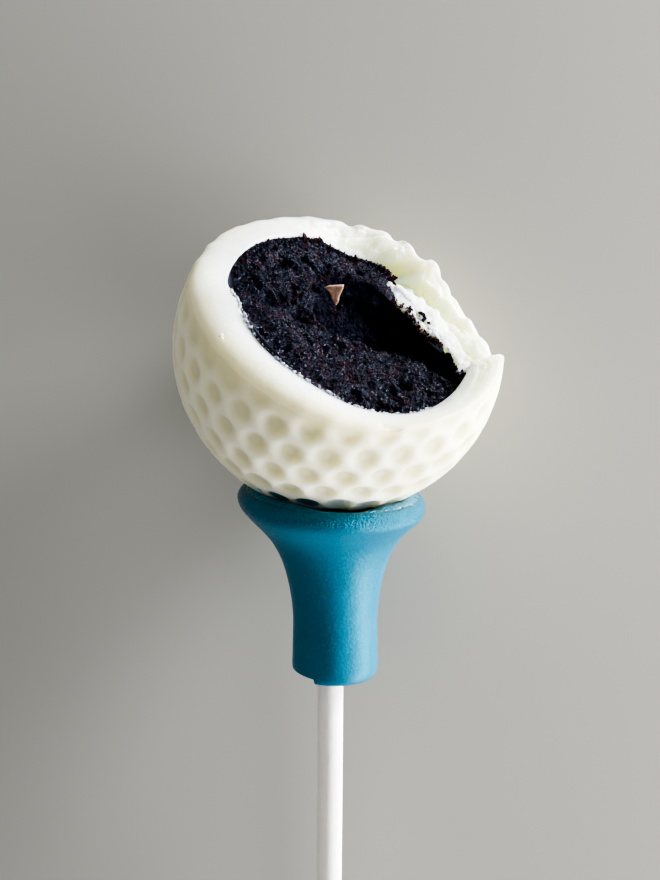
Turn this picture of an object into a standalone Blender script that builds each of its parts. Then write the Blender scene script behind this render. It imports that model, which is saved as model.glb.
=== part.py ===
"""Cake pop: a bitten, dimpled ball of white coating over dark cake, on a blue tee and a paper stick.

Everything is modelled upright, with the ball's centre at the origin, the stick along -Z and the
front towards -Y. The empty "laid_down" then lays the pop on its back, so that it rests on a small
flat under the ball and on the end of its stick. Metres, +Z up.
"""

import math

import bmesh
import bpy
from mathutils import Matrix, Vector, noise

MM = 0.001

# Ball: the white coating outside, the cake inside.
BALL_RADIUS = 21.7 * MM
COATING_THICKNESS = 4.5 * MM
CAKE_RADIUS = BALL_RADIUS - COATING_THICKNESS
FIT_GAP = 0.3 * MM
CORE_RADIUS = CAKE_RADIUS + FIT_GAP
REST_FLAT_RADIUS = 4.0 * MM

# Dimples: an icosahedral pattern with this many steps along each of its edges. Each dimple is
# meshed by its centre and by rings, given as (share of its radius, points round it).
DIMPLE_STEPS = 6
DIMPLE_RADIUS = 1.9 * MM
DIMPLE_DEPTH = 0.65 * MM
DIMPLE_RINGS = ((0.56, 5), (1.0, 9))
PATTERN_TURN = Matrix.Rotation(math.radians(-31.15), 3, Vector((0.8951, 0.0966, 0.4353)))
# Angles from straight down where the dimples fade out and are whole again.
PRESSED_SMOOTH = (math.radians(11), math.radians(19))

# Bite: leans this far from the stick's axis, towards the front right corner.
BITE_LEAN = math.radians(43.3)
BITE_HEADING = math.radians(-45.5)
BITE_FRAME = Matrix.Rotation(BITE_HEADING, 3, "Z") @ Matrix.Rotation(BITE_LEAN, 3, "Y")
CUTTER_TOP = 26 * MM
CUTTER_REACH = 24 * MM

# Rim of the bitten coating: (degrees round the bite's axis from its lowest side, height in mm).
RIM_OUTSIDE = (
    (-125, 2.2), (-90, 3.1), (-60, 4.4), (-30, 6.2), (-8, 8.8), (15, 10.8), (36, 12.2), (46, 10.9),
    (57, 9.3), (64, 7.1), (88, 6.3), (100, 7.1), (112, 9.1), (136, 8.4), (154, 6.5), (172, 5.1),
    (190, 3.6), (212, 2.8),
)
RIM_INSIDE = (
    (-126, 2.6), (-108, 3.7), (-84, 3.5), (-60, 4.0), (-30, 4.4), (-6, 5.6), (12, 7.2), (28, 8.6),
    (44, 8.2), (56, 5.6), (70, 5.0), (104, 5.0), (123, 4.8), (146, 4.4), (174, 5.0), (205, 4.2),
)
# How far below the rim the dimples are softened by melting, in the same form.
MELT_REACH = (
    (-140, 1.0), (-115, 3.5), (-85, 6.0), (-65, 4.5), (-45, 3.0), (-25, 1.2), (10, 0.8), (120, 0.3),
)
# How far the rim's outer edge is rounded down, in the same form.
RIM_DROP = (
    (-120, 1.6), (-60, 2.2), (-40, 1.7), (-22, 1.0), (0, 0.8), (35, 0.1), (120, 0.1), (180, 0.4),
)
RIM_LEVEL_SHARE = 0.3
RIM_RINGS = (0, 0.95, 1, 1.25, 1.5, 1.7, 1.85, 1.95, 2, 2.3)
RIM_SIDES = 54
CRAG_RELIEF = ((-120, 0.0), (-30, 0.0), (30, 0.5), (60, 0.9), (150, 0.9), (190, 0.2))
CRAG_SIZE = 3.0 * MM

# Cake: its edge stands a little proud of the coating in front and a little below it behind.
CAKE_EDGE = (
    (-126, 2.4), (-94, 3.9), (-60, 4.6), (-28, 5.1), (0, 6.5), (20, 7.2), (42, 6.0), (58, 4.4),
    (80, 3.5), (104, 3.1), (116, 3.5), (128, 5.0), (146, 4.0), (166, 4.6), (190, 3.9), (206, 3.6),
)
# Power of the distance from the middle with which the face takes on its edge's rise and fall.
EDGE_BLEND = 1.5
# The bite's oval hollow; the power makes its wall steep and its bottom wide.
HOLLOW_CENTRE = Vector((0.1, 7.4)) * MM
HOLLOW_HALF_LENGTH = 9.9 * MM
HOLLOW_HALF_WIDTH = 5.6 * MM
HOLLOW_TURN = math.radians(31)
HOLLOW_DEPTH = 6.2 * MM
HOLLOW_WALL = 0.65
# Crumb: its relief, fainter at the edge by the share given, and the meshed square's overhang.
CRUMB_RELIEF = 0.55 * MM
CRUMB_SIZE = 1.7 * MM
CRUMB_MIDDLE = 0.9
CRUMB_AT_EDGE = 0.3
CRUMB_GRID = 33
CRUMB_OVERHANG = 1.5 * MM

# Stick.
STICK_RADIUS = 1.75 * MM
STICK_LENGTH = 150 * MM
STICK_TOP = -8 * MM
STICK_OFFSET = -0.7 * MM
STICK_YAW = math.radians(0.43)
STICK_SIDES = 28

# Tee: (radius, height under the ball's centre) in mm, from the axis over the lip to the foot. The
# lip is drawn to the left and leans, more so the nearer a point is to the end of LIP_BLEND.
TEE_OFFSET = -0.45 * MM
TEE_PROFILE = (
    (0.0, 19.5), (9.9, 19.5), (11.0, 19.2), (11.6, 19.05), (12.2, 19.35), (12.54, 20.2),
    (12.2, 21.4), (10.9, 22.9), (9.45, 24.4), (8.2, 26.1), (6.95, 28.8), (6.1, 32.3),
    (5.7, 36.1), (5.75, 40.3), (5.82, 43.0), (5.5, 44.0), (4.8, 44.35), (0.0, 44.4),
)
TEE_SIDES = 32
LIP_BLEND = (-27 * MM, -20 * MM)
LIP_SHIFT = -0.45 * MM
LIP_SLOPE_RIGHT = math.tan(math.radians(-3.2))
LIP_SLOPE_FRONT = math.tan(math.radians(4.0))
FOOT_CUT_SLOPE = math.radians(6)
FOOT_CUT_CORNER = Vector((-3.2, 0, -43.4)) * MM
FOOT_CUT_BLOCK = 20 * MM

# Small pieces in the bite.
NUT_SIDE = 3.0 * MM
NUT_THICKNESS = 2.2 * MM
NUT_FRONT_SHARE = 0.85
NUT_PLACE = Vector((-6.8, 1.8, 3.0)) * MM
FLAKE_SPAN = (math.radians(56), math.radians(122))
FLAKE_INSET = 0.2 * MM
FLAKE_THICKNESS = 2.7 * MM
FLAKE_DEPTH = 3.4 * MM
FLAKE_SLOPE = 1.6 * MM
# The flake's ends are this share of its full size; it grows and shrinks over these shares of its
# length.
FLAKE_END_SHARE = 0.35
FLAKE_WIDENS = (0.15, 0.4)
FLAKE_NARROWS = (1.0, 0.92)
FLAKE_RAGGED = 0.5 * MM
RAGGED_PER_RADIAN = 9
FLAKE_STEPS = 24
POCKET_HEADROOM = 3 * MM

FLOOR_BLOCK = 60 * MM
SHARP_ANGLE = math.radians(35)


def clear_scene():
    for obj in list(bpy.data.objects):
        bpy.data.objects.remove(obj, do_unlink=True)


def new_collection(name):
    collection = bpy.data.collections.new(name)
    bpy.context.scene.collection.children.link(collection)
    return collection


def material(name, colour, roughness):
    """A plain Principled material; none of these foods is a metal."""
    made = bpy.data.materials.new(name)
    made.use_nodes = True
    shader = made.node_tree.nodes["Principled BSDF"]
    shader.inputs["Base Color"].default_value = (*colour, 1.0)
    shader.inputs["Roughness"].default_value = roughness
    shader.inputs["Metallic"].default_value = 0.0
    return made


def object_from(bm, name, collection, parent):
    """Turns a bmesh into an object."""
    mesh = bpy.data.meshes.new(name)
    bm.to_mesh(mesh)
    bm.free()
    obj = bpy.data.objects.new(name, mesh)
    collection.objects.link(obj)
    obj.parent = parent
    return obj


def finish_part(obj, finish):
    obj.data.materials.append(finish)
    obj.data.shade_smooth()
    obj.data.set_sharp_from_angle(angle=SHARP_ANGLE)


def as_cutter(obj):
    obj.hide_render = True
    obj.display_type = "WIRE"
    return obj


def cut(obj, cutter):
    modifier = obj.modifiers.new("cut by " + cutter.name, "BOOLEAN")
    modifier.operation = "DIFFERENCE"
    modifier.object = cutter


def smoothstep(low, high, value):
    t = min(max((value - low) / (high - low), 0.0), 1.0)
    return t * t * (3 - 2 * t)


def around(points, degrees):
    """Height in metres at an angle, on a smooth closed curve through (degrees, mm) points."""
    count = len(points)
    degrees = (degrees - points[0][0]) % 360 + points[0][0]
    first = max(i for i in range(count) if points[i][0] <= degrees)

    def point(index):
        turns, i = divmod(index, count)
        return points[i][0] + 360 * turns, points[i][1]

    (a0, h0), (a1, h1), (a2, h2), (a3, h3) = (point(first + k) for k in (-1, 0, 1, 2))
    t = (degrees - a1) / (a2 - a1)
    slope1 = (h2 - h0) / (a2 - a0) * (a2 - a1)
    slope2 = (h3 - h1) / (a3 - a1) * (a2 - a1)
    height = (
        (2 * t**3 - 3 * t**2 + 1) * h1
        + (t**3 - 2 * t**2 + t) * slope1
        + (3 * t**2 - 2 * t**3) * h2
        + (t**3 - t**2) * slope2
    )
    return height * MM


# Dimpled ball


def dimple_directions():
    """Unit vectors to the dimples: each icosahedron face holds a triangle of equal arcs."""
    bm = bmesh.new()
    bmesh.ops.create_icosphere(bm, subdivisions=1, radius=1.0)
    side = bm.edges[:][0]
    arc = side.verts[0].co.angle(side.verts[1].co)
    found = {}
    for face in bm.faces:
        a, b, c = (v.co.normalized() for v in face.verts)
        for i in range(DIMPLE_STEPS + 1):
            for j in range(DIMPLE_STEPS + 1 - i):
                shares = (i, j, DIMPLE_STEPS - i - j)
                u, v, w = (math.sin(share / DIMPLE_STEPS * arc) for share in shares)
                direction = (u * a + v * b + w * c).normalized()
                found[tuple(round(x, 4) for x in direction)] = direction
    bm.free()
    return [PATTERN_TURN @ direction for direction in found.values()]


def dimple_depth(direction, off_centre, floor_direction):
    """Depth at a point: a soft bowl, faint where the ball is pressed or its rim has melted."""
    bowl = max(0.0, 1 - (off_centre / DIMPLE_RADIUS) ** 2)
    unpressed = smoothstep(*PRESSED_SMOOTH, direction.angle(floor_direction))
    spot = BITE_FRAME.inverted() @ direction
    degrees = math.degrees(math.atan2(spot.y, spot.x))
    below_rim = around(RIM_OUTSIDE, degrees) - spot.z * BALL_RADIUS
    melted = around(MELT_REACH, degrees)
    return DIMPLE_DEPTH * bowl * unpressed * smoothstep(0.3 * melted, melted, below_rim)


def dimpled_ball(name, collection, parent, floor_direction):
    """A sphere meshed through the dimples' centres and rings, then dented at each of them."""
    centres = dimple_directions()
    bm = bmesh.new()
    for centre in centres:
        bm.verts.new(centre)
        across = centre.orthogonal().normalized()
        for share, count in DIMPLE_RINGS:
            tilt = Matrix.Rotation(share * DIMPLE_RADIUS / BALL_RADIUS, 3, across)
            for k in range(count):
                turn = Matrix.Rotation(2 * math.pi * k / count, 3, centre)
                bm.verts.new(turn @ tilt @ centre)
    bmesh.ops.convex_hull(bm, input=bm.verts[:])
    bmesh.ops.recalc_face_normals(bm, faces=bm.faces[:])
    for vert in bm.verts:
        direction = vert.co.normalized()
        off_centre = min(direction.angle(centre) for centre in centres) * BALL_RADIUS
        depth = dimple_depth(direction, off_centre, floor_direction)
        vert.co = direction * (BALL_RADIUS - depth)
    return object_from(bm, name, collection, parent)


def sphere(name, radius, detail, collection, parent):
    bm = bmesh.new()
    bmesh.ops.create_icosphere(bm, subdivisions=detail, radius=radius)
    return object_from(bm, name, collection, parent)


# Bite


def rim_point(ring, angle):
    """A point of the coating's broken rim, as (reach, height). The ring is 1 at the rim's inner
    edge and 2 at its outer one, which is rounded over in front and craggy behind."""
    degrees = math.degrees(angle)
    inside, outside = around(RIM_INSIDE, degrees), around(RIM_OUTSIDE, degrees)
    drop = around(RIM_DROP, degrees)
    inner_edge = math.sqrt(CORE_RADIUS**2 - inside**2)
    outer_edge = math.sqrt(BALL_RADIUS**2 - (outside - drop) ** 2)
    if ring < 1:
        return ring * inner_edge, inside
    share = min(ring - 1, 1.0)
    reach = inner_edge + share * (outer_edge - inner_edge)
    reach += max(ring - 2, 0.0) * (CUTTER_REACH - outer_edge)
    over = max(0.0, share - RIM_LEVEL_SHARE) / (1 - RIM_LEVEL_SHARE)
    height = inside + (outside - inside) * share - drop * (1 - math.sqrt(1 - over**2))
    crag = noise.noise(Vector((reach * math.cos(angle), reach * math.sin(angle), 0)) / CRAG_SIZE)
    height += around(CRAG_RELIEF, degrees) * crag * math.sin(math.pi * share)
    return reach, height


def cake_height(x, y):
    """The cake's bitten face: level with its edge, hollowed to one side, and crumbly."""
    distance = math.hypot(x, y)
    edge = around(CAKE_EDGE, math.degrees(math.atan2(y, x)))
    mean_edge = sum(height for _, height in CAKE_EDGE) / len(CAKE_EDGE) * MM
    height = mean_edge + (edge - mean_edge) * min(distance / CAKE_RADIUS, 1.0) ** EDGE_BLEND
    offset = Matrix.Rotation(-HOLLOW_TURN, 2) @ (Vector((x, y)) - HOLLOW_CENTRE)
    spread = (offset.x / HOLLOW_HALF_LENGTH) ** 2 + (offset.y / HOLLOW_HALF_WIDTH) ** 2
    height -= HOLLOW_DEPTH * max(0.0, 1 - spread) ** HOLLOW_WALL
    lump = noise.turbulence(Vector((x, y, height)) / CRUMB_SIZE, 3, False)
    inner = smoothstep(0.0, CRUMB_SIZE, CAKE_RADIUS - distance)
    share = CRUMB_AT_EDGE + (1 - CRUMB_AT_EDGE) * inner
    return height + CRUMB_RELIEF * (lump - CRUMB_MIDDLE) * share


def close_cutter(bm, name, collection, parent):
    """Closes a bitten face into a solid cutter with a flat top, and leans it into place."""
    raised = bmesh.ops.extrude_face_region(bm, geom=bm.faces[:])["geom"]
    for vert in (v for v in raised if isinstance(v, bmesh.types.BMVert)):
        vert.co.z = CUTTER_TOP
    bmesh.ops.recalc_face_normals(bm, faces=bm.faces[:])
    bm.transform(BITE_FRAME.to_4x4())
    return as_cutter(object_from(bm, name, collection, parent))


def rim_cutter(collection, parent):
    """A disc of rings, close together where the rim rounds over."""
    bm = bmesh.new()
    line = [bm.verts.new((ring, 0, 0)) for ring in RIM_RINGS]
    edges = [bm.edges.new(pair) for pair in zip(line, line[1:])]
    axis = Vector((0, 0, 1))
    turn = 2 * math.pi
    bmesh.ops.spin(bm, geom=line + edges, axis=axis, angle=turn, steps=RIM_SIDES, use_merge=True)
    bmesh.ops.remove_doubles(bm, verts=bm.verts[:], dist=0.001)
    for vert in bm.verts:
        angle = math.atan2(vert.co.y, vert.co.x)
        reach, height = rim_point(vert.co.length, angle)
        vert.co = (reach * math.cos(angle), reach * math.sin(angle), height)
    return close_cutter(bm, "rim_bite", collection, parent)


def cake_cutter(collection, parent):
    bm = bmesh.new()
    size = CAKE_RADIUS + CRUMB_OVERHANG
    bmesh.ops.create_grid(bm, x_segments=CRUMB_GRID, y_segments=CRUMB_GRID, size=size)
    for vert in bm.verts:
        vert.co.z = cake_height(vert.co.x, vert.co.y)
    return close_cutter(bm, "cake_bite", collection, parent)


# Small pieces in the bite


def nut_wedge(name, grown, collection, parent):
    """A three-sided chip of nut, point down, flat towards the front and a little smaller there;
    grown, it is the pocket that the chip sits in."""
    bm = bmesh.new()
    bmesh.ops.create_cone(
        bm,
        cap_ends=True,
        segments=3,
        radius1=NUT_SIDE / math.sqrt(3) + 2 * grown,
        radius2=NUT_FRONT_SHARE * NUT_SIDE / math.sqrt(3) + 2 * grown,
        depth=NUT_THICKNESS + 2 * grown,
    )
    bm.transform(Matrix.Rotation(math.pi, 4, "Z") @ Matrix.Rotation(-math.pi / 2, 4, "X"))
    obj = object_from(bm, name, collection, parent)
    obj.location = BITE_FRAME @ NUT_PLACE
    return obj


def flake_corners(share, angle, grown):
    """The flake's corners at one angle as (reach, height): top and bottom, outer and inner."""
    full = smoothstep(*FLAKE_WIDENS, share) * smoothstep(*FLAKE_NARROWS, share)
    taper = FLAKE_END_SHARE + (1 - FLAKE_END_SHARE) * full
    ragged = FLAKE_RAGGED * noise.noise(Vector((angle * RAGGED_PER_RADIAN, 0.5, 0.5)))
    rim = around(RIM_INSIDE, math.degrees(angle))
    outer = CAKE_RADIUS - FLAKE_INSET + grown
    inner = CAKE_RADIUS - FLAKE_INSET - FLAKE_THICKNESS * taper - ragged - grown
    low = rim - FLAKE_DEPTH * taper - grown
    top = rim + ragged + (POCKET_HEADROOM if grown else 0)
    outer_low = math.sqrt(outer**2 - low**2)
    outer_top = math.sqrt(outer**2 - rim**2)
    return [(outer_low, low), (outer_top, top), (inner, top - FLAKE_SLOPE * taper), (inner, low)]


def flake_splinter(name, grown, collection, parent):
    """A curved splinter between the cake and the rim; grown, it is the pocket it sits in."""
    bm = bmesh.new()
    start, end = FLAKE_SPAN
    loops = []
    for step in range(FLAKE_STEPS + 1):
        share = step / FLAKE_STEPS
        angle = start + (end - start) * share
        angle += (2 * share - 1) * grown / CAKE_RADIUS
        ray = Vector((math.cos(angle), math.sin(angle), 0))
        corners = flake_corners(share, angle, grown)
        loops.append([bm.verts.new(ray * reach + Vector((0, 0, up))) for reach, up in corners])
    for near, far in zip(loops, loops[1:]):
        for k in range(4):
            bm.faces.new((near[k], near[(k + 1) % 4], far[(k + 1) % 4], far[k]))
    bm.faces.new(loops[0])
    bm.faces.new(loops[-1])
    bmesh.ops.recalc_face_normals(bm, faces=bm.faces[:])
    bm.transform(BITE_FRAME.to_4x4())
    return object_from(bm, name, collection, parent)


# Tee and stick


def tee(collection, parent):
    """The turned tee, its cup leaning a little to the right and to the front."""
    bm = bmesh.new()
    points = [bm.verts.new((radius * MM, 0, -drop * MM)) for radius, drop in TEE_PROFILE]
    for pair in zip(points, points[1:]):
        bm.edges.new(pair)
    obj = object_from(bm, "tee", collection, parent)
    screw = obj.modifiers.new("turned", "SCREW")
    screw.steps = screw.render_steps = TEE_SIDES
    screw.use_merge_vertices = True
    screw.merge_threshold = 0.01 * MM
    obj.location.x = TEE_OFFSET
    solid = applied(obj, "tee", collection, parent)
    for vert in solid.data.vertices:
        weight = smoothstep(*LIP_BLEND, vert.co.z)
        slope = LIP_SLOPE_RIGHT * vert.co.x + LIP_SLOPE_FRONT * vert.co.y
        vert.co.z += weight * slope
        vert.co.x += weight * LIP_SHIFT
    return solid


def applied(obj, name, collection, parent):
    """A plain mesh object in place of one with modifiers."""
    graph = bpy.context.evaluated_depsgraph_get()
    mesh = bpy.data.meshes.new_from_object(obj.evaluated_get(graph))
    place = obj.location.copy()
    bpy.data.objects.remove(obj, do_unlink=True)
    made = bpy.data.objects.new(name, mesh)
    collection.objects.link(made)
    made.parent = parent
    made.location = place
    return made


def rod(name, radius, top, length, collection, parent):
    """A cylinder down the stick's own axis."""
    bm = bmesh.new()
    bmesh.ops.create_cone(
        bm, cap_ends=True, segments=STICK_SIDES, radius1=radius, radius2=radius, depth=length
    )
    bmesh.ops.translate(bm, vec=(0, 0, top - length / 2), verts=bm.verts[:])
    obj = object_from(bm, name, collection, parent)
    obj.location.x = STICK_OFFSET
    obj.rotation_euler.y = STICK_YAW
    return obj


def foot_cutter(collection, parent):
    """A slanted block that leaves the left side of the tee's foot a little shorter."""
    bm = bmesh.new()
    bmesh.ops.create_cube(bm, size=FOOT_CUT_BLOCK)
    half = FOOT_CUT_BLOCK / 2
    bmesh.ops.translate(bm, vec=(-half, 0, -half), verts=bm.verts[:])
    obj = object_from(bm, "foot_slice", collection, parent)
    obj.location = FOOT_CUT_CORNER
    obj.rotation_euler.y = FOOT_CUT_SLOPE
    return as_cutter(obj)


def floor_cutter(collection):
    bm = bmesh.new()
    bmesh.ops.create_cube(bm, size=FLOOR_BLOCK)
    bmesh.ops.translate(bm, vec=(0, 0, -FLOOR_BLOCK / 2), verts=bm.verts[:])
    return as_cutter(object_from(bm, "floor_cut", collection, None))


def laid_down(collection):
    """The empty at the ball's centre that tips the upright pop onto its back."""
    ball_height = math.sqrt(BALL_RADIUS**2 - REST_FLAT_RADIUS**2)
    stick_end = STICK_LENGTH - STICK_TOP
    slant = math.asin(ball_height / math.hypot(stick_end, STICK_RADIUS))
    slant -= math.atan(STICK_RADIUS / stick_end)
    empty = bpy.data.objects.new("laid_down", None)
    collection.objects.link(empty)
    empty.location.z = ball_height
    empty.rotation_euler.x = slant - math.pi / 2
    bpy.context.view_layer.update()
    return empty


def build():
    clear_scene()
    parts = new_collection("cake_pop")
    cutters = new_collection("cutters")
    white = material("white_coating", (0.86, 0.85, 0.74), 0.38)
    dark = material("chocolate_cake", (0.022, 0.012, 0.011), 0.75)
    blue = material("blue_sugar_paste", (0.02, 0.24, 0.44), 0.45)
    paper = material("white_paper", (0.88, 0.87, 0.86), 0.7)
    beige = material("nut", (0.62, 0.40, 0.30), 0.5)

    pose = laid_down(parts)
    floor_direction = pose.rotation_euler.to_matrix().inverted() @ Vector((0, 0, -1))

    bore_top = STICK_TOP + FIT_GAP
    bore_length = STICK_LENGTH
    bore = rod("bore", STICK_RADIUS + FIT_GAP, bore_top, bore_length, cutters, pose)
    as_cutter(bore)
    core = as_cutter(sphere("core", CORE_RADIUS, 4, cutters, pose))
    seat = as_cutter(sphere("seat", BALL_RADIUS + FIT_GAP, 4, cutters, pose))
    rim_bite = rim_cutter(cutters, pose)
    cake_bite = cake_cutter(cutters, pose)
    floor = floor_cutter(cutters)

    coating = dimpled_ball("coating", parts, pose, floor_direction)
    for cutter in (core, rim_bite, bore, floor):
        cut(coating, cutter)
    finish_part(coating, white)

    nut_pocket = as_cutter(nut_wedge("nut_pocket", FIT_GAP, cutters, pose))
    flake_pocket = as_cutter(flake_splinter("flake_pocket", FIT_GAP, cutters, pose))
    cake = sphere("cake", CAKE_RADIUS, 3, parts, pose)
    for cutter in (cake_bite, bore, nut_pocket, flake_pocket):
        cut(cake, cutter)
    finish_part(cake, dark)

    cup = tee(parts, pose)
    for cutter in (seat, bore, foot_cutter(cutters, pose)):
        cut(cup, cutter)
    finish_part(cup, blue)

    stick = rod("stick", STICK_RADIUS, STICK_TOP, STICK_LENGTH, parts, pose)
    finish_part(stick, paper)

    finish_part(nut_wedge("nut_piece", 0, parts, pose), beige)
    finish_part(flake_splinter("coating_flake", 0, parts, pose), white)


build()
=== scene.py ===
"""Cake pop: the finished surfaces, lights and camera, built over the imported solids.

Shapes are worked out in millimetres in the pop's own upright frame (ball's centre at the origin,
stick along -Z, front towards -Y) or in the bite's frame, whose +Z comes out of the bite. placed()
lays them down in the world, in metres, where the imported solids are. In the bite's frame a place is
given by its reach from the bite's axis and its angle round it, from 0 at the bite's lowest side.
"""

import math

import bpy
import numpy as np
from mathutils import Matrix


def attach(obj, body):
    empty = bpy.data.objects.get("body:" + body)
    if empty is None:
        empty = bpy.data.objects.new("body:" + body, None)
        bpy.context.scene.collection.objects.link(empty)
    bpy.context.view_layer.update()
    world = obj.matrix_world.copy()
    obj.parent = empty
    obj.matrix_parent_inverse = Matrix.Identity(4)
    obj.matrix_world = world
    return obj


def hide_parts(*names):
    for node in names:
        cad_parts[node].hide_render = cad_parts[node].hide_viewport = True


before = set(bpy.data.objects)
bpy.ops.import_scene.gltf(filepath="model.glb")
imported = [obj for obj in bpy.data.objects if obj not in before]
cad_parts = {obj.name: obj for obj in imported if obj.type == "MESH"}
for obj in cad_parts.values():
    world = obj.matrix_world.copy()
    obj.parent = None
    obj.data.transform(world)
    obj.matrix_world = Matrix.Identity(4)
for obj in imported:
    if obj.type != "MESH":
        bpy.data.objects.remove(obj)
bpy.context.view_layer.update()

MM = 0.001

# Ball
BALL_RADIUS = 21.7
FIT_GAP = 0.3
CORE_RADIUS = 17.5
CAKE_RADIUS = 17.42
REST_FLAT_RADIUS = 4.0
BALL_HEIGHT = math.sqrt(BALL_RADIUS**2 - REST_FLAT_RADIUS**2)
# How far inside the ball the coating's surface is laid, so that its lumps stay within the ball
WALL_INSET = 0.1

# Dimples, in a pattern of equal steps along an icosahedron's edges, turned about an axis. Each
# rises from its flat middle to its ridge between two shares of its radius
DIMPLE_STEPS = 6
DIMPLE_RADIUS = 1.9
DIMPLE_BOWL = (0.36, 1.14)
DIMPLE_DEPTH = 0.6
DIMPLE_UNEVEN = 0.22
PATTERN_TURN_DEGREES = -31.15
PATTERN_AXIS = (0.8951, 0.0966, 0.4353)
# Angles from the middle of the rest between which the dimples pressed flat there come back:
# evenly, and with a first step
PRESSED_SMOOTH = (math.radians(11), math.radians(19))
PRESSED_FLAT = (0.19, 0.24)
# Size of the cloudy patches in melted coating
CLOUD_SIZE = 5.5

# Bite: its lean from the stick's axis, and its rim as (degrees round its axis, height)
BITE_LEAN = math.radians(43.3)
BITE_HEADING = math.radians(-45.5)
FAR_SIDE = math.radians(100)
RIM_OUTSIDE = (
    (-125, 2.2), (-90, 3.1), (-60, 4.4), (-30, 6.2), (-8, 8.8), (15, 10.8), (36, 12.2), (46, 10.9),
    (57, 9.3), (64, 7.1), (88, 6.3), (100, 7.1), (112, 9.1), (136, 8.4), (154, 6.5), (172, 5.1),
    (190, 3.6), (212, 2.8),
)
RIM_INSIDE = (
    (-126, 2.6), (-108, 3.7), (-84, 3.5), (-60, 4.0), (-30, 4.4), (-6, 5.6), (12, 7.2), (28, 8.6),
    (44, 8.2), (56, 5.6), (70, 5.0), (104, 5.0), (123, 4.8), (146, 4.4), (174, 5.0), (205, 4.2),
)
# How far below the rim the coating has melted, and how far its outer edge is rounded down
MELT_REACH = (
    (-140, 2.0), (-115, 5.0), (-85, 7.0), (-65, 5.6), (-45, 4.0), (-25, 3.2), (5, 2.6), (40, 1.6),
    (120, 0.3),
)
RIM_DROP = (
    (-120, 1.6), (-60, 2.2), (-40, 1.7), (-22, 1.0), (0, 0.8), (35, 0.1), (120, 0.1), (180, 0.4),
)
# The share of the rim's width, from inside, that isn't rounded
RIM_LEVEL_SHARE = 0.3
# Scallops of the rim's outer edge where it broke through the dimples
RIM_SCALLOPS = (
    (40, 0.0), (64, -0.5), (70.8, 0.1), (78, -0.3), (84.8, 0.15), (88.5, -0.25), (95, 0.15),
    (98.8, -0.2), (102.2, 0.1), (106, -0.25), (111.2, 0.2), (118.5, -0.55), (126.2, 0.1),
    (130.8, -0.3), (136, 0.1), (140.8, -0.3), (145.2, 0.1), (148.8, -0.2), (156, 0.1), (170, 0.0),
)
# How broken the rim's face is, and how deep the groove along its inside, which also sets how much
# yellow painted shade lies in it
BROKEN = (
    (-120, 0.0), (-30, 0.0), (25, 0.3), (40, 1.0), (60, 1.1), (100, 1.2), (140, 1.3), (168, 0.3),
)
GROOVE = ((-120, 0.0), (44, 0.0), (60, 0.9), (100, 1.2), (126, 1.3), (150, 0.6), (175, 0.0))
# How wide the white broken face is on the near side and on the far side; its cool white is partly
# the broken coating's own colour and partly painted light
WHITE_BAND = (2.9, 4.6)
# Creases in the rim: lines of (degrees, reach), and how deep
RIM_CREASES = (
    (((-28.1, 20.2), (-25.3, 20.6), (-22.3, 20.8)), 0.25),
    (((-0.3, 16.8), (6.6, 16.6)), 0.3),
    (((60.0, 16.6), (56.0, 18.2), (49.0, 19.8)), 0.7),
    (((134.0, 18.6), (126.0, 19.4), (118.0, 18.4)), 0.6),
)
CREASE_HALF_WIDTH = 0.24

# Cake: the edge of its bitten face as (degrees, height), and the power by which it evens out inward
CAKE_EDGE = (
    (-126, 2.4), (-94, 3.8), (-60, 4.35), (-28, 4.8), (0, 6.4), (20, 7.2), (42, 6.0), (58, 4.4),
    (80, 3.5), (104, 3.1), (116, 3.5), (128, 5.0), (146, 4.0), (166, 4.6), (190, 3.9), (206, 3.6),
)
EDGE_BLEND = 1.5
# Where the edge crumbles down to the rim, as (degrees, drop), and where that starts
SHOULDER = ((-120, 0.0), (-42, 0.0), (-28, 0.8), (0, 0.9), (25, 0.7), (42, 0.2), (60, 0.0))
SHOULDER_START = 0.9
# The hollow and the painted shade in and round it are ovals turned alike: (middle, half length,
# half width). A lower power makes the hollow's wall steeper. The painted shade, a bluish black
# tone with the glints taken out, also lies in round spots: (place across, place along, radius)
HOLLOW_TURN = math.radians(31)
HOLLOW_OVAL = ((0.5, 7.0), 10.1, 6.3)
HOLLOW_DEPTH = 6.2
HOLLOW_WALL = 0.65
MOIST_OVAL = ((0.2, 6.6), 12.0, 6.9)
MOIST_SPOTS = (
    (-3.0, -1.6, 2.9), (-5.4, 0.2, 2.4), (-2.3, -7.6, 1.3), (-5.6, -9.6, 1.3), (8.6, 10.4, 2.6),
)
# Where the cake keeps the smooth skin it had against the coating
PRESSED_MARGIN = (
    (-150, 0.0), (-130, 0.6), (-112, 1.5), (-98, 1.7), (-84, 0.8), (-70, 0.5), (-58, 0.4),
    (-47, 0.2), (-38, 0.0), (60, 0.0),
)
# Dips beside the hollow: (place across, place along, radius, depth)
DIPS = (
    (-5.4, 1.6, 2.0, 1.4), (-1.6, -1.2, 3.3, 2.3), (2.5, 1.5, 2.6, 1.4), (-5.6, -9.6, 1.5, 1.2),
    (-2.2, -7.6, 1.6, 1.2), (-12.6, -4.6, 1.4, 0.9), (6.4, 2.2, 1.1, 0.8), (11.8, -0.6, 1.2, 0.9),
    (9.6, 9.2, 2.2, 1.6),
)

# Crumbs and chips: how unevenly they are stretched, and their corners pushed in or out
LUMP_STRETCH = 0.45
CORNER_PUSH = 0.28
# Crumbs over the whole face: how many, and their least and largest size
CRUMB_COUNT = 7850
CRUMB_SIZES = (0.05, 0.17)
# Crumbs along the cake's edge: how many, and over which degrees
EDGE_CRUMB_COUNT = 900
EDGE_CRUMB_ARCS = ((-42, 66), (124, 228))
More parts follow.
